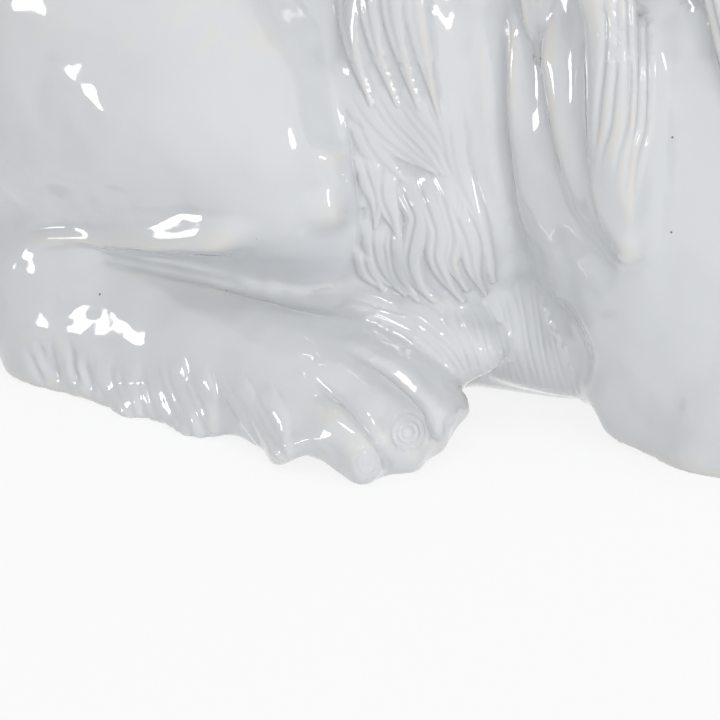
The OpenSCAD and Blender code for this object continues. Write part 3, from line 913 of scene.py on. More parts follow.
class Castings:
    """The frame's castings, their joined surface and which casting each face of it belongs to.

    In millimetres: the voxel of the joined surface, the weld of loose triangles, how far the plug goes past the
    opening, and how far off the castings a clay form claims a point.
    """

    voxel = 1.6
    weld = 0.001
    plug_over = 1.0
    claim_from = 0.8

    def __init__(self, nodes: dict[str, bpy.types.Object]) -> None:
        """Takes the castings.

        Args:
            nodes: The frame's nodes by name.
        """
        self.nodes = nodes
        self.names = sorted(nodes)
        points: list[Vector] = []
        faces: list[tuple[int, ...]] = []
        self.owner: list[int] = []
        for number, name in enumerate(self.names):
            start = len(points)
            points.extend(v.co / MM for v in nodes[name].data.vertices)
            for face in nodes[name].data.polygons:
                faces.append(tuple(start + i for i in face.vertices))
                self.owner.append(number)
        self.tree = BVHTree.FromPolygons(points, faces)
        self.claims: list[tuple[Ball, str]] = []

    def claim(self, form: Ball, name: str) -> None:
        """Gives a clay form and its mirror image to the castings of this name on both sides."""
        self.claims.append((form, name))

    def touch(self, start: np.ndarray, way: np.ndarray) -> tuple[np.ndarray, np.ndarray] | None:
        """Where a ray first meets the castings.

        Args:
            start: The ray's start.
            way: Its direction.

        Returns:
            The point and the surface's normal there, or None.
        """
        place, normal, _, _ = self.tree.ray_cast(Vector(start), Vector(way))
        return None if place is None else (np.array(place), np.array(normal))

    def owners(self, points: np.ndarray) -> np.ndarray:
        """Which casting each point belongs to.

        Args:
            points: Points of the skin, in millimetres.

        Returns:
            Numbers of the nearest castings, or of those that claim the clay form there.
        """
        found = [self.tree.find_nearest(Vector(p)) for p in points]
        numbers = np.array([self.owner[hit[2]] for hit in found], np.int32)
        loose = np.array([hit[3] for hit in found]) > self.claim_from
        for form, name in self.claims:
            for side, label in ((1.0, "right_"), (-1.0, "left_")):
                numbers[loose & form.holds(points, side)] = self.names.index(label + name)
        return numbers

    def lay_out(self, clay: Clay) -> None:
        """Adds copies of the castings to the clay, with the opening of the belly plugged.

        Args:
            clay: The clay.
        """
        for name in self.names:
            if name != PLATE:
                clay.add_casting(self.nodes[name].data, self.weld * MM)
        low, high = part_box(PLATE)
        size = high - low + Vector((2 * self.plug_over * MM, 2 * self.plug_over * MM, 0.0))
        bmesh.ops.create_cube(clay.bm, size=1.0, matrix=Matrix.Translation((low + high) / 2)
                              @ Matrix.Diagonal((*size, 1.0)))

    def fuse(self, clay: Clay) -> Skin:
        """Fuses clay into one closed skin.

        Args:
            clay: Castings and clay forms, which may overlap.

        Returns:
            The outer skin.
        """
        rough = clay.finish()
        thing = bpy.data.objects.new("clay", rough)
        bpy.context.scene.collection.objects.link(thing)
        remesh = thing.modifiers.new("fuse", "REMESH")
        remesh.mode, remesh.voxel_size = "VOXEL", self.voxel * MM
        graph = bpy.context.evaluated_depsgraph_get()
        skin = bpy.data.meshes.new_from_object(thing.evaluated_get(graph))
        bpy.data.objects.remove(thing)
        bpy.data.meshes.remove(rough)
        bm = bmesh.new()
        bm.from_mesh(skin)
        stray = self.strays(bm)
        if stray:
            bmesh.ops.delete(bm, geom=stray, context="VERTS")
            bm.to_mesh(skin)
        bm.free()
        log.info("fused skin: %d faces, %d stray points dropped", len(skin.polygons), len(stray))
        return Skin(skin)

    @staticmethod
    def strays(bm: bmesh.types.BMesh) -> list[bmesh.types.BMVert]:
        """Loose bits of a mesh.

        Args:
            bm: The mesh.

        Returns:
            The points outside its largest connected part.
        """
        left, parts = set(bm.verts), []
        while left:
            grown, edge = set(), [next(iter(left))]
            while edge:
                vert = edge.pop()
                if vert in grown:
                    continue
                grown.add(vert)
                edge.extend(e.other_vert(vert) for e in vert.link_edges)
            left -= grown
            parts.append(grown)
        parts.sort(key=len, reverse=True)
        return [v for part in parts[1:] for v in part]


# Pieces

@dataclass
class Seams:
    """Cuts the finished skin along the luted seams into closed pieces."""

    castings: Castings
    wall: float = 3.0
    thin_wall: float = 1.2
    thin: tuple[str, ...] = ("ear", "mane_locks", "flank_tuft", "belly_fringe", "tail", "tail_tuft")
    settle_rounds: int = 4
    inner_share: float = 0.10
    most_triangles: int = 190000

    def mark(self, skin: Skin) -> None:
        """Numbers the skin's faces by the casting that each one covers, with smooth borders.

        Args:
            skin: The fused skin.
        """
        nearest = self.castings.owners(skin.points)
        share = np.zeros((len(nearest), len(self.castings.names)))
        share[np.arange(len(nearest)), nearest] = 1.0
        share = skin.blur(share, self.settle_rounds)
        loops, starts, _ = skin.corners()
        faces = np.add.reduceat(share[loops], starts, axis=0).argmax(1).astype(np.int32)
        skin.store("casting_face", faces, "INT", "FACE")

    @staticmethod
    def spread(skin: Skin) -> np.ndarray:
        """Casting numbers of the points.

        Args:
            skin: A skin with numbered faces.

        Returns:
            For each point, the number of a face that it is on.
        """
        loops, _, totals = skin.corners()
        numbers = np.zeros(len(skin.points), np.int32)
        numbers[loops] = np.repeat(skin.face_numbers("casting_face"), totals)
        return numbers

    def cut(self, skin: Skin, core: np.ndarray, relief: np.ndarray) -> dict[str, bpy.types.Object]:
        """Cuts the skin into closed pieces.

        Args:
            skin: The finished skin.
            core: Where the inner face of the wall lies, one point for each of the skin's.
            relief: How far the skin stands out at each point.

        Returns:
            The pieces by the name of the casting.
        """
        normals = skin.normals()
        loops, starts, totals = skin.corners()
        faces = skin.face_numbers("casting_face")
        pieces = {}
        for number, name in enumerate(self.castings.names):
            mine = np.flatnonzero(faces == number)
            if name == PLATE or not len(mine):
                continue
            corners = np.repeat(faces == number, totals)
            used, local = np.unique(loops[corners], return_inverse=True)
            sizes = totals[mine]
            mesh = bpy.data.meshes.new(name + "_glazed")
            mesh.vertices.add(len(used))
            mesh.vertices.foreach_set("co", (skin.points[used] * MM).astype(np.float32).ravel())
            mesh.loops.add(len(local))
            mesh.loops.foreach_set("vertex_index", local.astype(np.int32))
            mesh.polygons.add(len(mine))
            mesh.polygons.foreach_set("loop_start", (np.cumsum(sizes) - sizes).astype(np.int32))
            mesh.update(calc_edges=True)
            mesh.attributes.new("relief", "FLOAT", "POINT").data.foreach_set(
                "value", relief[used].astype(np.float32))
            mesh.attributes.new("skin_normal", "FLOAT_VECTOR", "POINT").data.foreach_set(
                "vector", normals[used].astype(np.float32).ravel())
            piece = bpy.data.objects.new(name + "_glazed", mesh)
            bpy.context.scene.collection.objects.link(piece)
            self.close(piece, core[used])
            pieces[name] = piece
        return pieces

    def close(self, piece: bpy.types.Object, core: np.ndarray) -> None:
        """Gives a piece its wall and its final normals.

        Args:
            piece: An open piece of the skin.
            core: Where the inner face of its wall lies.
        """
        count, outer_faces = len(core), len(piece.data.polygons)
        wall = piece.modifiers.new("wall", "SOLIDIFY")
        wall.thickness, wall.offset = self.wall * MM, -1.0
        self.apply(piece)
        inner = np.arange(count, 2 * count)
        normals = piece.data.attributes["skin_normal"].data
        for items, key, values in ((piece.data.vertices, "co", core * MM), (normals, "vector", 0.0)):
            rows = read(items, key, np.float32, 3)
            rows[inner] = values
            items.foreach_set(key, rows.ravel())
        piece.data.update()
        total = int((read(piece.data.polygons, "loop_total") - 2).sum())
        if total > self.most_triangles:
            group = piece.vertex_groups.new(name="inner")
            group.add(inner.tolist(), 1.0, "REPLACE")
            thin = piece.modifiers.new("thin_inner", "DECIMATE")
            thin.ratio = 1.0 - (1.0 - self.inner_share) * 2 * outer_faces / total
            thin.vertex_group = group.name
            self.apply(piece)
            piece.vertex_groups.clear()
        mesh = piece.data
        layer = mesh.attributes["skin_normal"]
        vectors = read(layer.data, "vector", np.float32, 3)
        mesh.shade_smooth()
        mesh.normals_split_custom_set_from_vertices(vectors)
        mesh.attributes.remove(layer)

    @staticmethod
    def apply(piece: bpy.types.Object) -> None:
        """Applies a piece's modifiers.

        Args:
            piece: The piece.
        """
        graph = bpy.context.evaluated_depsgraph_get()
        made = bpy.data.meshes.new_from_object(piece.evaluated_get(graph))
        name = piece.data.name
        piece.modifiers.clear()
        old, piece.data = piece.data, made
        bpy.data.meshes.remove(old)
        made.name = name


# The lion's parts

def dots(*places: Pixel) -> tuple[Line, ...]:
    """Returns very short lines, along which a stroke is a round swell or dent at each place."""
    return tuple(((x - DOT, y), (x + DOT, y)) for x, y in places)


@dataclass(frozen=True)
class FurGroove:
    """The fine groove along a leaf of fur, in shares of the leaf's half width and height."""

    off: float = 0.25
    off_at_tip: float = 0.35
    width: float = 0.30
    depth: float = 0.25
    ends: Span = (0.3, 0.3)

    def line(self, leaf: Line, width: float) -> Line:
        """Where the groove runs, beside the middle of its leaf.

        Args:
            leaf: The leaf's line.
            width: Half the leaf's width, in the units of its points.

        Returns:
            The groove's line.
        """
        line = np.asarray(leaf, float)
        way = np.gradient(line, axis=0)
        side = np.stack((-way[:, 1], way[:, 0]), 1)
        side /= np.linalg.norm(side, axis=1)[:, None]
        narrow = np.linspace(1.0, self.off_at_tip, len(line))[:, None]
        return tuple(map(tuple, line + self.off * width * narrow * side))


def tresses(lines: tuple[Line, ...], width: float, height: float, nodes: tuple[str, ...],
            space: Space = Space.PHOTO, ends: Span = (0.3, 0.35)) -> tuple[Strokes, Strokes]:
    """Leaves of fur with a fine groove along each.

    Args:
        lines: The leaves' lines.
        width: Half a leaf's width, in the units of its points.
        height: Its height, in millimetres.
        nodes: Castings that the leaves lie on.
        space: Where the points are given.
        ends: Share of the length over which a leaf rises from its root, and how much it thins to its tip.

    Returns:
        The leaves' strokes and their grooves' strokes.
    """
    groove = FurGroove()
    grooves = tuple(groove.line(line, width) for line in lines)
    return (Strokes(lines, width, height, nodes, space, Edge.LEAF, ends),
            Strokes(grooves, groove.width * width, -groove.depth * height, nodes, space, ends=groove.ends))


@dataclass(frozen=True)
class HindLeg:
    """Haunch, hock, foot and toes."""

    leg: tuple[str, ...] = ("thigh", "hind_foot", "trunk_shell")
    foot: tuple[str, ...] = ("hind_foot",)
    forms: tuple[Ball, ...] = (
        Ball((-150.0, -70.0, 27.0), (25.0, 11.0, 16.0), (0.0, 0.0, -10.0)),
        Ball((-158.0, -62.0, 10.0), (13.0, 9.0, 14.0)),
        Ball((-46.3, -87.5, 8.0), (21.5, 30.5, 14.0)),
        Ball((-66.0, -97.5, 8.0), (18.0, 8.0, 8.0), (0.0, 0.0, -16.0)))
    haunch: Strokes = Strokes(
        (((-20, 142), (70, 142), (150, 146), (250, 160)),), 90, 4.4, leg, ends=(0.5, 0.4))
    hock: Strokes = Strokes(
        (((10, 252), (45, 240), (100, 236), (150, 233), (205, 233), (265, 240)),),
        26, 5.4, leg, ends=(0.85, 0.2))
    heel_side: Strokes = Strokes((((10, 330), (75, 345), (135, 362)),), 42, 2.6, foot, ends=(0.0, 0.8))
    hock_crest: Strokes = Strokes((((18, 248), (45, 239), (100, 235), (150, 232), (215, 233)),), 12, 1.7, leg)
    hollow: Strokes = Strokes((((-40, 222), (40, 208), (110, 203), (180, 203), (250, 210)),), 52, -1.6, leg)
    crease: Strokes = Strokes((((92, 256), (160, 270), (220, 283), (290, 300), (375, 318)),), 9, -1.6, leg)
    knee: Strokes = Strokes((((332, 140), (337, 190), (332, 240)),), 26, 1.8, leg)
    knee_fold: Strokes = Strokes((((350, 90), (360, 170), (366, 230), (360, 276)),), 12, -1.2, leg)
    knee_rim: Strokes = Strokes((((262, 283), (300, 290), (345, 287)),), 6, 0.9, leg)
    sole: Strokes = Strokes(
        (((-10, 362), (20, 376), (70, 395), (130, 412), (200, 430), (240, 440)),),
        36, 4.2, foot, ends=(0.16, 0.3))
    toes: Strokes = Strokes((
        ((285, 385), (325, 418), (354, 450), (364, 482)), ((318, 350), (362, 384), (394, 416), (412, 448)),
        ((378, 346), (414, 368), (442, 392), (460, 416))), 24, 1.6, foot, ends=(0.5, 0.0))
    toe_grooves: Strokes = Strokes((
        ((296, 360), (345, 402), (369, 430), (384, 454), (392, 476)),
        ((334, 343), (366, 358), (391, 374), (413, 393), (431, 414), (437, 446))),
        9, -1.6, foot, ends=(0.5, 0.1))
    knee_cap: Strokes = Strokes(dots((322, 212)), 30, 1.8, leg, ends=EVEN)
    points: Strokes = Strokes(dots((134, 412), (200, 430), (283, 460)), 32, 4.2, foot, ends=EVEN)
    pads: Strokes = Strokes(dots((362, 478), (412, 466), (440, 444), (462, 408)), 26, 1.6, foot, ends=EVEN)
    notches: tuple[Strokes, ...] = (
        Strokes(dots((165, 424)), 42, 0.6, foot, ends=EVEN, upward=True),
        Strokes(dots((242, 446)), 42, 0.8, foot, ends=EVEN, upward=True),
        Strokes(dots((314, 466)), 42, 4.2, foot, ends=EVEN, upward=True))
    heel_grooves: Strokes = Strokes((
        ((22, 340), (36, 372), (48, 390)), ((35, 334), (42, 356), (54, 382)),
        ((50, 332), (52, 362), (62, 388)), ((66, 336), (74, 362), (80, 392)),
        ((84, 352), (90, 376), (95, 398))), 7, -1.1, foot, ends=(0.4, 0.3))
    feathers: tuple[Strokes, Strokes] = tresses((
        ((74, 350), (80, 372), (92, 392), (104, 404)),
        ((100, 345), (98, 374), (113, 402), (135, 424)), ((124, 360), (130, 390), (140, 418)),
        ((146, 362), (157, 404), (174, 428), (197, 441)), ((168, 356), (182, 398), (200, 438)),
        ((192, 366), (206, 404), (214, 434)), ((226, 372), (254, 416), (270, 448), (285, 460)),
        ((256, 384), (276, 422), (290, 456))), 15, 1.6, foot)
    claws: tuple[tuple[Pixel, float], ...] = (((410, 432), 17.0), ((367, 463), 11.0))
    ring_shares: tuple[float, ...] = (1.0, 0.66, 0.36)
    ring_points: int = 13
    ring_stretch: float = 1.15
    ring_width: float = 3.2
    ring_depth: float = 0.42
    hem: tuple[Line, float] = (((0, 350), (40, 372), (100, 392), (170, 412), (240, 434), (290, 446)), 62.0)

    def model(self, clay: Clay) -> None:
        """Adds the heel and the mass between the toes to the clay."""
        for form in self.forms:
            form.add_to(clay)

    def sculpt(self, tool: Sculptor) -> None:
        """Models the leg's broad forms."""
        tool.draw(self.haunch, self.hock, self.heel_side, self.hock_crest, self.hollow, self.crease,
                  self.knee, self.knee_fold, self.knee_rim, self.sole, self.toes, self.toe_grooves,
                  self.knee_cap, self.points, self.pads, *self.notches)

    def rings(self) -> tuple[Line, ...]:
        """Rings round the claws.

        Returns:
            Their lines, in the photograph's pixels.
        """
        lines = []
        for (x, y), radius in self.claws:
            for share in self.ring_shares:
                turn = np.linspace(0.0, 2 * math.pi, self.ring_points)
                lines.append(tuple((x + share * radius * math.cos(t),
                                    y + self.ring_stretch * share * radius * math.sin(t)) for t in turn))
        return tuple(lines)

    def comb(self, tool: Sculptor) -> None:
        """Models the fur of the heel and the foot, and the claws' rings."""
        tool.draw(self.heel_grooves, *self.feathers,
                  Strokes(self.rings(), self.ring_width, -self.ring_depth, self.foot, ends=EVEN))


@dataclass(frozen=True)
class FlankFur:
    """Tuft on the flank and the fringe under the belly."""

    flank: tuple[str, ...] = ("flank_tuft", "trunk_shell", "thigh")
    belly: tuple[str, ...] = ("belly_fringe", "trunk_shell", "flank_tuft")
    fill: tuple[tuple[str, Ball], ...] = (
        ("belly_fringe", Ball((-62.0, -56.0, 22.0), (42.0, 14.0, 14.0), (0.0, 0.0, -6.0))),
        ("flank_tuft", Ball((-60.0, -57.0, 74.0), (13.0, 10.0, 46.0))),
        ("belly_fringe", Ball((-10.0, -41.5, 25.0), (40.0, 12.0, 21.0), (8.0, 0.0, 2.0))),
        ("flank_tuft", Ball((-40.0, -58.0, 52.0), (17.0, 9.5, 21.0), (0.0, 12.0, 0.0))),
        ("flank_tuft", Ball((-56.0, -52.0, 122.0), (13.0, 7.0, 27.0), (-22.0, 8.0, 0.0))))
    rim: Strokes = Strokes(
        (((466, 276), (495, 274), (514, 266), (532, 250)),), 16, 0.5, belly, ends=(0.4, 0.4))
    under: Strokes = Strokes(
        (((478, 292), (506, 288), (528, 274), (544, 258)),), 13, -0.3, belly, ends=(0.4, 0.4))
    hem: Strokes = Strokes(
        (((462, 397), (500, 401), (540, 405), (592, 410)),), 26, 1.3, belly, ends=(0.1, 0.1), upward=True)
    faint_leaves: tuple[Strokes, Strokes] = tresses((
        ((350, 86), (364, 112), (384, 136), (410, 156), (436, 172)),
        ((374, 84), (396, 120), (420, 146), (444, 174)),
        ((396, 84), (420, 116), (440, 142), (452, 172), (462, 196)),
        ((420, 90), (441, 126), (450, 160), (462, 190), (476, 216)),
        ((444, 90), (453, 132), (457, 164), (467, 194), (478, 220), (488, 250), (493, 280)),
        ((358, 112), (372, 146), (388, 166), (408, 182))), 14, 1.1, flank)
    leaves: tuple[Strokes, Strokes] = tresses((
        ((364, 150), (372, 178), (378, 200), (376, 226)),
        ((388, 162), (384, 192), (392, 214), (400, 236)),
        ((396, 172), (411, 200), (419, 217), (415, 238), (411, 260), (418, 282), (434, 300)),
        ((376, 216), (377, 250), (386, 274), (406, 294)),
        ((394, 220), (396, 250), (400, 274), (418, 300)),
        ((416, 172), (431, 204), (439, 232), (437, 256), (446, 278), (462, 300)),
        ((430, 168), (444, 192), (452, 216), (456, 240), (452, 262), (466, 288)),
        ((450, 196), (462, 222), (470, 246), (474, 270), (484, 292)),
        ((366, 244), (370, 268), (384, 290)),
        ((386, -126), (364, -70), (350, -10), (354, 50), (372, 104)),
        ((390, -128), (380, -70), (370, -6), (380, 56), (398, 104)),
        ((394, -128), (396, -70), (392, 0), (404, 60), (420, 108)),
        ((398, -124), (412, -66), (416, 10), (428, 70), (440, 116))), 14, 1.9, flank)
    fringe: tuple[Strokes, Strokes] = tresses((
        ((440, 300), (450, 322), (462, 344), (470, 368), (474, 394)),
        ((456, 304), (466, 332), (476, 356), (482, 376), (486, 400)),
        ((470, 298), (482, 322), (491, 352), (498, 377), (501, 402)),
        ((486, 292), (497, 318), (505, 350), (511, 377), (515, 403)),
        ((502, 284), (512, 316), (516, 350), (524, 378), (530, 405)),
        ((518, 272), (526, 308), (531, 344), (539, 379), (546, 407)),
        ((534, 270), (541, 308), (546, 350), (553, 382), (561, 410)),
        ((546, 296), (556, 336), (564, 372), (570, 392), (577, 413)),
        ((558, 310), (571, 350), (582, 388), (592, 416)),
        ((342, 294), (380, 306), (420, 318)), ((360, 306), (400, 322), (432, 340)),
        ((388, 300), (420, 314), (446, 334), (462, 356)), ((404, 326), (432, 346), (454, 372)),
        ((410, 296), (436, 310), (456, 332)), ((430, 330), (452, 350), (470, 380))),
        10, 0.9, belly, ends=(0.3, 0.9))

    def model(self, clay: Clay, castings: Castings) -> None:
        """Adds the fur's mass under and in front of the knee to the clay.

        Args:
            clay: The clay.
            castings: The castings, to which the mass is given.
        """
        for name, form in self.fill:
            form.add_to(clay)
            castings.claim(form, name)

    def sculpt(self, tool: Sculptor) -> None:
        """Models the flank's lower rim, the hollow under the tuft and the fringe's hem."""
        tool.draw(self.rim, self.under, self.hem)

    def comb(self, tool: Sculptor) -> None:
        """Models the leaves of fur."""
        tool.draw(*self.faint_leaves, *self.leaves, *self.fringe)


@dataclass(frozen=True)
class Foreleg:
    """Folds behind the upper arm, the elbow, the toes and the locks of mane on the shoulder."""

    arm: tuple[str, ...] = ("shoulder", "trunk_shell", "forearm", "mane_locks", "belly_fringe")
    locks: tuple[str, ...] = ("mane_locks",)
    paw: tuple[str, ...] = ("forearm",)
    ridges: Strokes = Strokes((
        ((512, -20), (515, 90), (520, 160), (534, 226), (548, 268), (572, 320)),
        ((548, -20), (556, 90), (571, 160), (592, 215), (624, 262))), 21, 2.5, arm, ends=(0.3, 0.4))
    furrows: Strokes = Strokes((
        ((494, -20), (500, 90), (507, 165), (522, 232), (536, 264)),
        ((530, 0), (538, 100), (551, 170), (572, 230)),
        ((546, 286), (570, 330), (594, 390))), 19, -2.3, arm, ends=(0.3, 0.4))
    elbow: Strokes = Strokes(
        (((598, 402), (606, 428), (640, 450), (690, 470), (740, 480)),), 34, 2.2, arm, ends=EVEN)
    lock_tip: Strokes = Strokes(dots((629, 252)), 26, 1.6, arm, ends=EVEN)
    elbow_rim: Strokes = Strokes(dots((630, 450)), 40, 1.8, arm, ends=EVEN, upward=True)
    toe_gaps: Strokes = Strokes((
        ((-62.0, -2.0), (-61.0, 12.0), (-59.5, 28.0)), ((-48.0, -2.0), (-48.0, 14.0), (-48.0, 32.0)),
        ((-34.0, -2.0), (-35.0, 12.0), (-36.5, 28.0))), 4.5, -2.4, paw, Space.FRONT, ends=(0.0, 0.4))
    grooves: Strokes = Strokes((
        ((604, -40), (604, 40), (598, 110), (592, 176)),
        ((616, -40), (617, 40), (610, 120), (601, 156), (599, 196)),
        ((627, -40), (631, 40), (627, 120), (617, 160), (612, 206)),
        ((637, -40), (642, 40), (640, 120), (630, 156), (623, 212)),
        ((646, -40), (650, 40), (650, 120), (641, 160), (633, 216))), 5, -1.0, locks, ends=(0.1, 0.45))
    side_locks: tuple[Line, ...] = (
        ((-8.0, 178.0), (-11.7, 104.0)), ((46.4, 165.0), (60.0, 90.0)))
    strands: tuple[float, ...] = (-6.5, -2.2, 2.2, 6.5)
    strand_share: float = 0.2
    strand_width: float = 2.1
    strand_depth: float = 1.1
    strand_ends: Span = (0.1, 0.3)
    lock_line: Line = ((612, 20), (617, 80), (617, 140), (621, 190), (630, 232), (641, 268))
    lock_lifts: tuple[float, ...] = (0.5, 0.8, 1.2, 2.6, 4.6, 3.0)
    lock_width: float = 24.0
    lock_thickness: float = 11.0
    lock_taper: float = 0.35

    def model(self, clay: Clay, castings: Castings, view: PhotoView) -> None:
        """Adds the lock that the photograph shows to the clay, on both sides.

        Args:
            clay: The clay.
            castings: The castings that it lies on.
            view: The photograph's view.
        """
        hits = [castings.touch(*view.ray(pixel)) for pixel in self.lock_line]
        places = np.array([place for place, _ in hits])
        normals = np.array([normal for _, normal in hits])
        line = places + np.array(self.lock_lifts)[:, None] * normals
        for side in (1.0, -1.0):
            flip = np.array((1.0, side, 1.0))
            lock = Lock(line * flip, normals * flip, self.lock_width, self.lock_thickness, self.lock_taper)
            lock.add_to(clay)

    def sculpt(self, tool: Sculptor) -> None:
        """Models the folds, the elbow and the gaps between the toes."""
        tool.draw(self.ridges, self.furrows, self.elbow, self.lock_tip, self.elbow_rim, self.toe_gaps)

    def side_strands(self) -> tuple[Line, ...]:
        """Grooves of the locks that the photograph doesn't show, which close up to the tips.

        Returns:
            Their lines, as seen from the side.
        """
        lines = []
        for (x, z), (tip_x, tip_z) in self.side_locks:
            for k in self.strands:
                lines.append(((x + k, z), (0.5 * (x + tip_x) + k, 0.5 * (z + tip_z)),
                              (tip_x + self.strand_share * k, tip_z)))
        return tuple(lines)

    def comb(self, tool: Sculptor) -> None:
        """Models the grooves of the locks on the shoulder."""
        hidden = Strokes(self.side_strands(), self.strand_width, -self.strand_depth, self.locks, Space.SIDE,
                         ends=self.strand_ends)
        tool.draw(self.grooves, hidden)


@dataclass
class Mane:
    """Locks round the face and down the neck.

    Sections give shares of the length, climb, half width and half height. Rows give the root and the length
    as shares, the count of locks and their shift. Stray is how far root, turn and length depart from even.
    """

    start: Span = (-26.0, 159.6)
    length: float = 140.0
    climb: float = 59.4
    half_width: float = 86.0
    half_height: float = 98.0
    tilt: float = 12.0
    sections: tuple[tuple[float, float, float, float], ...] = (
        (0.00, 0.00, 0.22, 0.18), (0.06, 0.08, 0.54, 0.40), (0.22, 0.28, 0.82, 0.68),
        (0.44, 0.50, 0.98, 0.94), (0.66, 0.69, 1.00, 1.02), (0.84, 0.86, 0.92, 0.96),
        (0.95, 0.97, 0.74, 0.80), (1.00, 1.00, 0.56, 0.62))
    section_steps: int = 8
    rows: tuple[tuple[float, float, int, float], ...] = (
        (0.96, 0.33, 19, 0.0), (0.79, 0.38, 19, 0.5), (0.61, 0.38, 18, 0.0), (0.43, 0.34, 15, 0.5))
    nape: tuple[float, float, int, float] = (0.27, 0.25, 13, 0.0)
    nape_thickness: float = 7.0
    stray: Point = (0.03, 4.0, 0.12)
    stray_turns: tuple[int, int] = (137, 61)
    stray_seeds: tuple[int, int, int] = (90, 0, 200)
    throat: float = 124.0
    droop: float = 20.0
    ear_turn: float = 34.0
    ear_gap: float = 13.0
    lifts: tuple[float, ...] = (0.04, 0.14, 0.19, 0.20, 0.17, 0.12, 0.06)
    width: float = 29.5
    thickness: float = 15.6
    made: list[Lock] = field(default_factory=list)

    def at(self, share: float) -> np.ndarray:
        """The mane's cross section.

        Args:
            share: Share of the mane's length, from the withers.

        Returns:
            The x and z of its middle, its half width and its half height.
        """
        table = curve(self.sections, self.section_steps)
        climb, wide, high = (np.interp(share, table[:, 0], column) for column in table[:, 1:].T)
        return np.array((self.start[0] + share * self.length, self.start[1] + climb * self.climb,
                         wide * self.half_width, high * self.half_height))

    def lock(self, root: float, length: float, turn: float) -> Lock:
        """One lock, as the part has it.

        Args:
            root: Place of its root as a share of the mane's length from the withers.
            length: Its length as a share of the mane's.
            turn: Angle of its root from the crown, in degrees.

        Returns:
            The lock.
        """
        tilt = math.radians(self.tilt)
        top, side = np.array((-math.sin(tilt), 0.0, math.cos(tilt))), np.array((0.0, 1.0, 0.0))
        places, out = [], []
        for share, lift in zip(np.linspace(0.0, 1.0, len(self.lifts)), self.lifts):
            angle = math.radians(turn + self.droop * share * math.sin(math.radians(turn)))
            x, z, wide, high = self.at(root - share * length)
            rise = lift * self.thickness
            places.append(np.array((x, 0.0, z)) + math.sin(angle) * (wide + rise) * side
                          + math.cos(angle) * (high + rise) * top)
            out.append(math.sin(angle) * side + math.cos(angle) * top)
        return Lock(np.array(places), np.array(out), self.width, self.thickness)

    def model(self, clay: Clay) -> None:
        """Adds the locks to the clay.

        Args:
            clay: The clay.
        """
        by_lock, by_row = self.stray_turns
        for row, (root, length, count, shift) in enumerate((*self.rows, self.nape)):
            for k in range(count):
                wobble = [math.sin(math.radians(by_lock * k + by_row * row + seed))
                          for seed in self.stray_seeds]
                even = 360.0 * (k + shift) / count
                turn = (even - 360.0 if even > 180.0 else even) + self.stray[1] * wobble[1]
                by_ear = row == 0 and abs(abs(turn) - self.ear_turn) < self.ear_gap
                if abs(turn) >= self.throat or by_ear:
                    continue
                start = min(root + self.stray[0] * wobble[0], 1.0)
                lock = self.lock(start, length * (1.0 + self.stray[2] * wobble[2]), turn)
                if row == len(self.rows):
                    lock.thickness = self.nape_thickness
                lock.add_to(clay)
                self.made.append(lock)
        log.info("mane: %d locks", len(self.made))

    def comb(self, tool: Sculptor) -> None:
        """Models the strands of the locks, each where it lies on top.

        Args:
            tool: The modelling tool.
        """
        points = tool.skin.points
        best = np.full(len(points), np.inf)
        heights = np.zeros(len(points))
        for lock in self.made:
            which, off, rise = lock.comb(points)
            nearer = off < best[which]
            best[which[nearer]] = off[nearer]
            heights[which[nearer]] = rise[nearer]
        tool.heights += heights


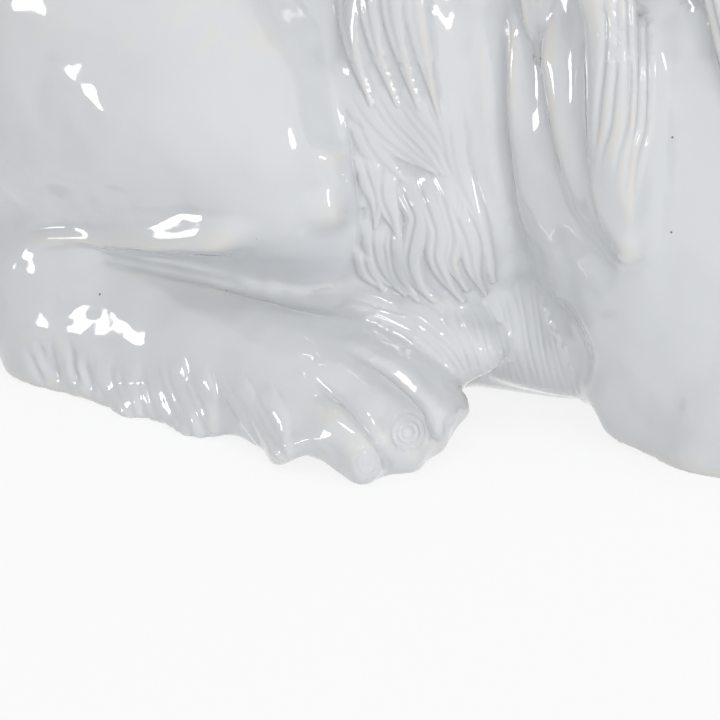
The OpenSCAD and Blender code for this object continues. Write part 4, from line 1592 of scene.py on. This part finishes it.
@dataclass(frozen=True)
class Head:
    """A lion's face in general: brow, eyes, nose, mouth, whisker pads, cheeks, chin and ears."""

    face: tuple[str, ...] = ("head_shell", "lower_jaw")
    ears: tuple[str, ...] = ("ear",)
    forms: tuple[Ball, ...] = (
        Ball((158.0, -12.5, 211.0), (15.0, 14.0, 14.5)),
        Ball((166.0, 0.0, 229.0), (9.0, 13.0, 8.5), (0.0, 20.0, 0.0)),
        Ball((142.0, 0.0, 243.0), (30.0, 12.0, 9.0), (0.0, 20.0, 0.0)),
        Ball((119.0, -20.0, 262.0), (15.0, 13.0, 8.0), (0.0, 12.0, 18.0)),
        Ball((128.5, -19.0, 250.5), (8.5, 8.5, 8.5)),
        Ball((112.0, -33.0, 222.0), (22.0, 13.0, 21.0)),
        Ball((153.0, 0.0, 184.0), (13.0, 15.0, 10.0)))
    socket: Strokes = Strokes(
        (((-28.0, 252.0), (-19.0, 250.0), (-10.0, 245.0)),), 12.0, -4.6, face, Space.FRONT)
    brow: Strokes = Strokes(
        (((-6.0, 257.0), (-15.0, 263.5), (-28.0, 262.0)),), 8.0, 2.0, face, Space.FRONT)
    eye: Strokes = Strokes(dots((-19.0, 249.8)), 10.0, 5.4, face, Space.FRONT, ends=EVEN)
    nose_side: Strokes = Strokes(
        (((-8.0, 248.0), (-10.0, 240.0), (-13.5, 232.0)),), 5.5, -1.4, face, Space.FRONT)
    furrow: Strokes = Strokes((((0.0, 254.0), (0.0, 274.0)),), 6.0, -1.6, face, Space.FRONT, ends=(0.4, 0.5))
    mouth: Strokes = Strokes((((0.0, 208.5), (-4.0, 204.5), (-11.0, 201.5), (-19.0, 203.5), (-25.0, 209.0)),),
                             5.0, -1.6, face, Space.FRONT, ends=(0.0, 0.4))
    hollow: Strokes = Strokes((((-43.0, 274.0), (-47.0, 283.0)),), 15.0, -5.5, ears, Space.FRONT, ends=EVEN)
    cheeks: tuple[Strokes, Strokes] = tresses((
        ((-32.0, 243.0), (-38.0, 232.0), (-40.0, 218.0)), ((-29.0, 234.0), (-36.0, 222.0), (-38.0, 207.0)),
        ((-28.0, 223.0), (-33.0, 211.0), (-34.0, 197.0)), ((-25.0, 211.0), (-28.0, 201.0), (-28.0, 190.0))),
        6.0, 1.8, face, Space.FRONT)
    beard: tuple[Strokes, Strokes] = tresses((
        ((-15.0, 192.0), (-14.0, 184.0), (-11.0, 177.0)), ((-8.5, 190.0), (-8.0, 182.0), (-6.0, 174.0)),
        ((-2.0, 189.0), (-2.0, 181.0), (-1.0, 172.0))), 4.5, 1.4, face, Space.FRONT)
    upper_lid: Strokes = Strokes(
        (((-9.5, 244.5), (-13.0, 251.0), (-19.0, 255.0), (-25.0, 254.0), (-29.0, 250.5)),),
        3.2, 2.4, face, Space.FRONT, ends=(0.1, 0.1))
    lower_lid: Strokes = Strokes(
        (((-9.5, 244.5), (-14.0, 244.5), (-20.0, 245.0), (-25.5, 247.5), (-29.0, 250.5)),),
        2.8, 1.6, face, Space.FRONT, ends=(0.1, 0.1))
    pupil: Strokes = replace(eye, width=2.6, height=-1.5)
    nose_edge: Strokes = Strokes(
        (((0.0, 236.5), (-7.0, 236.0), (-12.5, 232.0), (-10.0, 226.0), (-4.0, 222.0), (0.0, 220.5)),),
        2.0, -1.1, face, Space.FRONT, ends=EVEN)
    nostril: Strokes = Strokes(
        (((-4.5, 226.0), (-7.5, 228.0), (-10.5, 231.0)),), 2.6, -2.2, face, Space.FRONT, ends=(0.1, 0.3))
    lip: Strokes = Strokes((((0.0, 220.0), (0.0, 209.0)),), 2.2, -1.4, face, Space.FRONT, ends=EVEN)
    mouth_line: Strokes = replace(mouth, width=2.2, height=-1.8, ends=(0.0, 0.3))
    whiskers: Strokes = Strokes(
        dots((-9.0, 217.0), (-14.0, 218.5), (-19.0, 219.0), (-8.0, 212.5), (-13.5, 213.5), (-19.0, 214.5),
             (-10.0, 208.5), (-16.0, 209.0)), 1.5, -0.7, face, Space.FRONT, ends=EVEN)

    def model(self, clay: Clay) -> None:
        """Adds the face's forms to the clay."""
        for form in self.forms:
            form.add_to(clay)

    def sculpt(self, tool: Sculptor) -> None:
        """Models the eyes' sockets, the brow, the muzzle's folds and the hollows of the ears."""
        tool.draw(self.socket, self.brow, self.eye, self.nose_side, self.furrow, self.mouth, self.hollow)

    def comb(self, tool: Sculptor) -> None:
        """Models the lids, the nose, the mouth's line, the whiskers' pits and the cheeks' fur."""
        tool.draw(*self.cheeks, *self.beard, self.upper_lid, self.lower_lid, self.pupil, self.nose_edge,
                  self.nostril, self.lip, self.mouth_line, self.whiskers)


@dataclass(frozen=True)
class Bib:
    """Locks of the mane on the chest, and those that frame the face."""

    chest: tuple[str, ...] = ("chest_mane", "mane_ruff", "trunk_shell")
    ruff: tuple[str, ...] = ("mane_ruff",)
    locks: tuple[Strokes, Strokes] = tresses((
        ((-42.0, 186.0), (-39.0, 160.0), (-31.0, 138.0)), ((-29.0, 186.0), (-28.0, 156.0), (-21.0, 132.0)),
        ((-16.0, 184.0), (-16.0, 152.0), (-11.0, 126.0)), ((-4.0, 182.0), (-5.0, 148.0), (-2.0, 122.0)),
        ((-35.0, 154.0), (-32.0, 128.0), (-23.0, 110.0)), ((-22.0, 150.0), (-21.0, 124.0), (-14.0, 104.0)),
        ((-9.0, 146.0), (-9.0, 120.0), (-5.0, 99.0)), ((-29.0, 128.0), (-25.0, 106.0), (-16.0, 92.0)),
        ((-16.0, 124.0), (-14.0, 102.0), (-8.0, 86.0)), ((-3.0, 122.0), (-4.0, 98.0), (-1.0, 80.0)),
        ((-20.0, 106.0), (-15.0, 88.0), (-8.0, 74.0)), ((-7.0, 102.0), (-6.0, 84.0), (-1.0, 64.0))),
        8.5, 3.6, chest, Space.FRONT, (0.9, 0.0))
    middle: Span = (0.0, 232.0)
    inner: Span = (46.0, 50.0)
    outer: Span = (74.0, 80.0)
    around: int = 15
    first: float = 12.0
    last: float = 150.0
    sweep: float = 10.0
    rim_width: float = 8.5
    rim_height: float = 2.6
    rim_ends: Span = (0.5, 0.2)

    def rim(self) -> tuple[Line, ...]:
        """Locks that frame the face, from its edge outwards and drooping.

        Returns:
            Their lines, as seen from in front.
        """
        lines = []
        for turn in np.linspace(self.first, self.last, self.around):
            line = []
            for share in (0.0, 0.5, 1.0):
                angle = math.radians(turn + self.sweep * share * math.sin(math.radians(turn)))
                wide, high = (a + share * (b - a) for a, b in zip(self.inner, self.outer))
                x, z = self.middle
                line.append((x - wide * math.sin(angle), z + high * math.cos(angle)))
            lines.append(tuple(line))
        return tuple(lines)

    def comb(self, tool: Sculptor) -> None:
        """Models the locks."""
        rim = tresses(self.rim(), self.rim_width, self.rim_height, self.ruff, Space.FRONT, self.rim_ends)
        tool.draw(*rim, *self.locks)


@dataclass(frozen=True)
class TailTuft:
    """Strands of the tuft, drawn as if it lay on the side that the photograph shows."""

    tuft: tuple[str, ...] = ("tail_tuft",)
    strands: tuple[Strokes, Strokes] = tresses((
        ((120, 150), (180, 120), (250, 112), (330, 100)), ((120, 170), (180, 140), (250, 130), (335, 118)),
        ((124, 190), (186, 160), (252, 150), (335, 138)), ((140, 205), (196, 180), (256, 170), (330, 156))),
        14, 2.4, tuft)

    def comb(self, tool: Sculptor) -> None:
        """Models the strands."""
        tool.draw(*self.strands)


@dataclass
class Lion:
    """The whole lion, from the clay to the glazed pieces.

    Calm says how far each casting is smoothed, and lumps give a height and a size. Melts are lines in the
    photograph's pixels, each with a radius, along which castings flow into each other.
    """

    castings: Castings
    view: PhotoView
    seams: Seams
    hind_leg: HindLeg = HindLeg()
    fur: FlankFur = FlankFur()
    foreleg: Foreleg = Foreleg()
    head: Head = Head()
    bib: Bib = Bib()
    tuft: TailTuft = TailTuft()
    calm: tuple[tuple[str, float], ...] = (
        ("trunk_shell", 1.0), ("thigh", 1.0), ("shoulder", 1.0), ("forearm", 0.35), ("hind_foot", 0.3),
        ("tail", 0.4), ("head_shell", 0.2), ("belly_fringe", 0.4), ("flank_tuft", 0.6))
    calm_rounds: int = 6
    uneven: tuple[str, ...] = (
        "trunk_shell", "thigh", "shoulder", "forearm", "hind_foot", "tail", "head_shell", "lower_jaw")
    uneven_rounds: int = 8
    lumps: tuple[Span, ...] = ((0.9, 24.0), (0.55, 12.0), (0.20, 6.0))
    fused_rounds: int = 4
    plain_rounds: int = 40
    melts: tuple[tuple[Line, float], ...] = (
        (((504, 60), (508, 130), (516, 178), (530, 232), (556, 290), (578, 330), (596, 392)), 34.0),
        (((560, 320), (590, 340)), 58.0), (((25, 262), (65, 250)), 44.0), (((325, 300), (355, 302)), 40.0),
        (((458, 300), (482, 300)), 30.0),
        (((655, 0), (653, 90), (652, 140), (650, 190), (645, 240), (640, 262)), 18.0),
        (((590, 20), (588, 110), (591, 170), (603, 216), (622, 250), (636, 264)), 24.0))
    melt_rounds: int = 60
    core_rounds: int = 4
    refined_rounds: int = 2
    fine_rounds: int = 1
    ground_band: float = 9.0
    shown: tuple[Pixel, Pixel] = ((-25.0, 60.0), (745.0, 520.0))
    fine_from: float = 0.08
    front: tuple[str, ...] = ("head_shell", "lower_jaw", "ear", "chest_mane", "forearm")
    fine_both: tuple[str, ...] = ("head_shell", "lower_jaw", "tail_tuft", "mane_locks", "mane_ruff")
    glaze_rounds: int = 8
    relief_rounds: int = 12
    relief_height: float = 0.35

    def model(self) -> Skin:
        """Models the lion.

        Returns:
            The fused skin with all its forms and fur.
        """
        mane = Mane()
        clay = Clay()
        self.castings.lay_out(clay)
        mane.model(clay)
        self.head.model(clay)
        self.hind_leg.model(clay)
        self.fur.model(clay, self.castings)
        self.foreleg.model(clay, self.castings, self.view)
        skin = self.castings.fuse(clay)
        self.seams.mark(skin)
        skin.smooth(self.fused_rounds)
        tool = Sculptor(skin, self.view, self.castings.names)
        calm = sum(share * tool.on((name,)) for name, share in self.calm)
        calm *= rise_between(skin.points[:, 2], 0.0, self.ground_band)
        skin.smooth(self.plain_rounds, skin.blur(calm, self.calm_rounds))
        skin.smooth(self.melt_rounds, tool.near(self.melts))
        skin.stay_over_ground()
        self.keep_core(skin)
        tool.renew()
        skin.refine(self.in_frame(tool))
        skin.smooth(self.refined_rounds)
        tool.renew()
        uneven = skin.blur(tool.on(self.uneven).astype(float), self.uneven_rounds)
        for height, size in self.lumps:
            tool.knead(height, size, uneven)
        for part in (self.hind_leg, self.fur, self.foreleg, self.head):
            part.sculpt(tool)
        tool.press()
        furred = (self.hind_leg, self.fur, self.foreleg, self.head, self.bib, self.tuft)
        for part in furred:
            part.comb(tool)
        drawn = np.abs(tool.heights) + tool.cover > self.fine_from
        skin.refine(drawn & ((skin.points[:, 1] < 0.0) | tool.on(self.fine_both)))
        skin.smooth(self.fine_rounds)
        tool.renew()
        for part in (*furred, mane):
            part.comb(tool)
        tool.press()
        skin.smooth(self.glaze_rounds, tool.near((self.hind_leg.hem,)) * tool.on(self.hind_leg.foot))
        skin.stay_over_ground()
        log.info("modelled skin: %d faces", len(skin.mesh.polygons))
        return skin

    def in_frame(self, tool: Sculptor) -> np.ndarray:
        """What to model finely.

        Args:
            tool: The modelling tool.

        Returns:
            Which points the photograph shows, on both sides, or look forward on the lion's front.
        """
        low, high = self.shown
        shown = (tool.facing > 0.0) & np.all((tool.pixels > low) & (tool.pixels < high), axis=1)
        return shown | tool.on(self.front) & (tool.ahead > 0.0)

    def keep_core(self, skin: Skin) -> None:
        """Stores where the inner face of each wall lies.

        Args:
            skin: The skin before its fine forms.
        """
        thin = np.array([any(n.endswith(t) for t in self.seams.thin) for n in self.castings.names])
        depth = np.where(thin[Seams.spread(skin)], self.seams.thin_wall, self.seams.wall)
        core = Skin(skin.mesh.copy())
        core.points = skin.points.copy()
        core.smooth(self.core_rounds)
        skin.store("core", core.points - depth[:, None] * core.normals(), "FLOAT_VECTOR", "POINT")
        bpy.data.meshes.remove(core.mesh)

    def relief(self, skin: Skin) -> np.ndarray:
        """Returns how far the skin stands out at each point, 1 on a sharp crest and -1 in a narrow groove."""
        soft = skin.blur(skin.points, self.relief_rounds)
        return np.einsum("ij,ij->i", skin.points - soft, skin.normals()) / self.relief_height

    def dress(self, skin: Skin) -> None:
        """Cuts the skin into pieces, glazes them and puts them on the frame.

        Args:
            skin: The modelled skin.
        """
        glaze = GlazedPorcelain().material()
        pieces = self.seams.cut(skin, skin.vectors("core"), self.relief(skin))
        for name, piece in pieces.items():
            piece.data.materials.append(glaze)
            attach(piece, "root")
            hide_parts(name)
            log.info("%s: %d faces", piece.name, len(piece.data.polygons))
        bpy.data.meshes.remove(skin.mesh)
        plate = frame["nodes"][PLATE]
        plate.data.materials.clear()
        plate.data.materials.append(BareClay().material())
        log.info("%s: bare clay", PLATE)


# Studio

@dataclass(frozen=True)
class Softbox:
    """A soft lamp, placed by the camera's right, up and back directions."""

    name: str
    way: Point
    distance: float
    size: Span
    power: float
    mirrored: bool = True
    lights: bool = True

    def hang(self, view: PhotoView) -> None:
        """Hangs the lamp so that it faces the middle of the photograph's frame.

        Args:
            view: The photograph's view.
        """
        lamp = bpy.data.lights.new(self.name, "AREA")
        lamp.shape = "RECTANGLE"
        lamp.size, lamp.size_y = self.size
        lamp.energy = self.power
        thing = bpy.data.objects.new(self.name, lamp)
        bpy.context.scene.collection.objects.link(thing)
        way = Vector(sum(part * axis for part, axis in zip(self.way, view.axes()))).normalized()
        thing.location = Vector(view.target()) * MM + way * self.distance
        thing.rotation_mode = "QUATERNION"
        thing.rotation_quaternion = way.to_track_quat("Z", "Y")
        thing.visible_camera = False
        thing.visible_glossy = self.mirrored
        thing.visible_diffuse = self.lights


@dataclass(frozen=True)
class Studio:
    """Floor, lamps, surroundings and camera."""

    view: PhotoView
    floor_size: float = 40.0
    sky: float = 0.53
    lamps: tuple[Softbox, ...] = (
        Softbox("left_softbox", (-0.95, 0.11, 0.26), 1.6, (0.40, 0.25), 2.6, lights=False),
        Softbox("top_softbox", (-0.10, 0.90, 0.35), 1.5, (0.42, 0.25), 2.8),
        Softbox("right_softbox", (0.50, 0.02, 0.86), 1.6, (0.18, 0.30), 1.5),
        Softbox("fill_softbox", (0.18, -0.06, 0.98), 2.4, (1.8, 1.3), 27.0, mirrored=False))

    def build(self) -> None:
        """Builds the studio round the lion."""
        scene = bpy.context.scene
        scene.view_settings.view_transform = "Standard"
        self.view.make_camera()
        for lamp in self.lamps:
            lamp.hang(self.view)
        world = bpy.data.worlds.new("studio")
        scene.world = world
        s = Shader(world)
        seen = s.background_rays()
        around = s.node("ShaderNodeBackground", {}, {"Color": WHITE, "Strength": self.sky})
        white = s.node("ShaderNodeBackground", {}, {"Color": WHITE, "Strength": 1.0})
        s.surface(s.node("ShaderNodeMixShader", {}, {0: seen, 1: around, 2: white}))
        bm = bmesh.new()
        bmesh.ops.create_grid(bm, x_segments=1, y_segments=1, size=self.floor_size / 2)
        mesh = bpy.data.meshes.new("floor")
        bm.to_mesh(mesh)
        bm.free()
        floor = bpy.data.objects.new("floor", mesh)
        mesh.materials.append(StudioPaper().material())
        scene.collection.objects.link(floor)


def main() -> None:
    """Builds the lion and its studio."""
    logging.basicConfig(level=logging.INFO, format="%(name)s: %(message)s")
    view = PhotoView()
    Studio(view).build()
    castings = Castings(frame["nodes"])
    lion = Lion(castings, view, Seams(castings))
    lion.dress(lion.model())


if __name__ == "__main__":
    main()
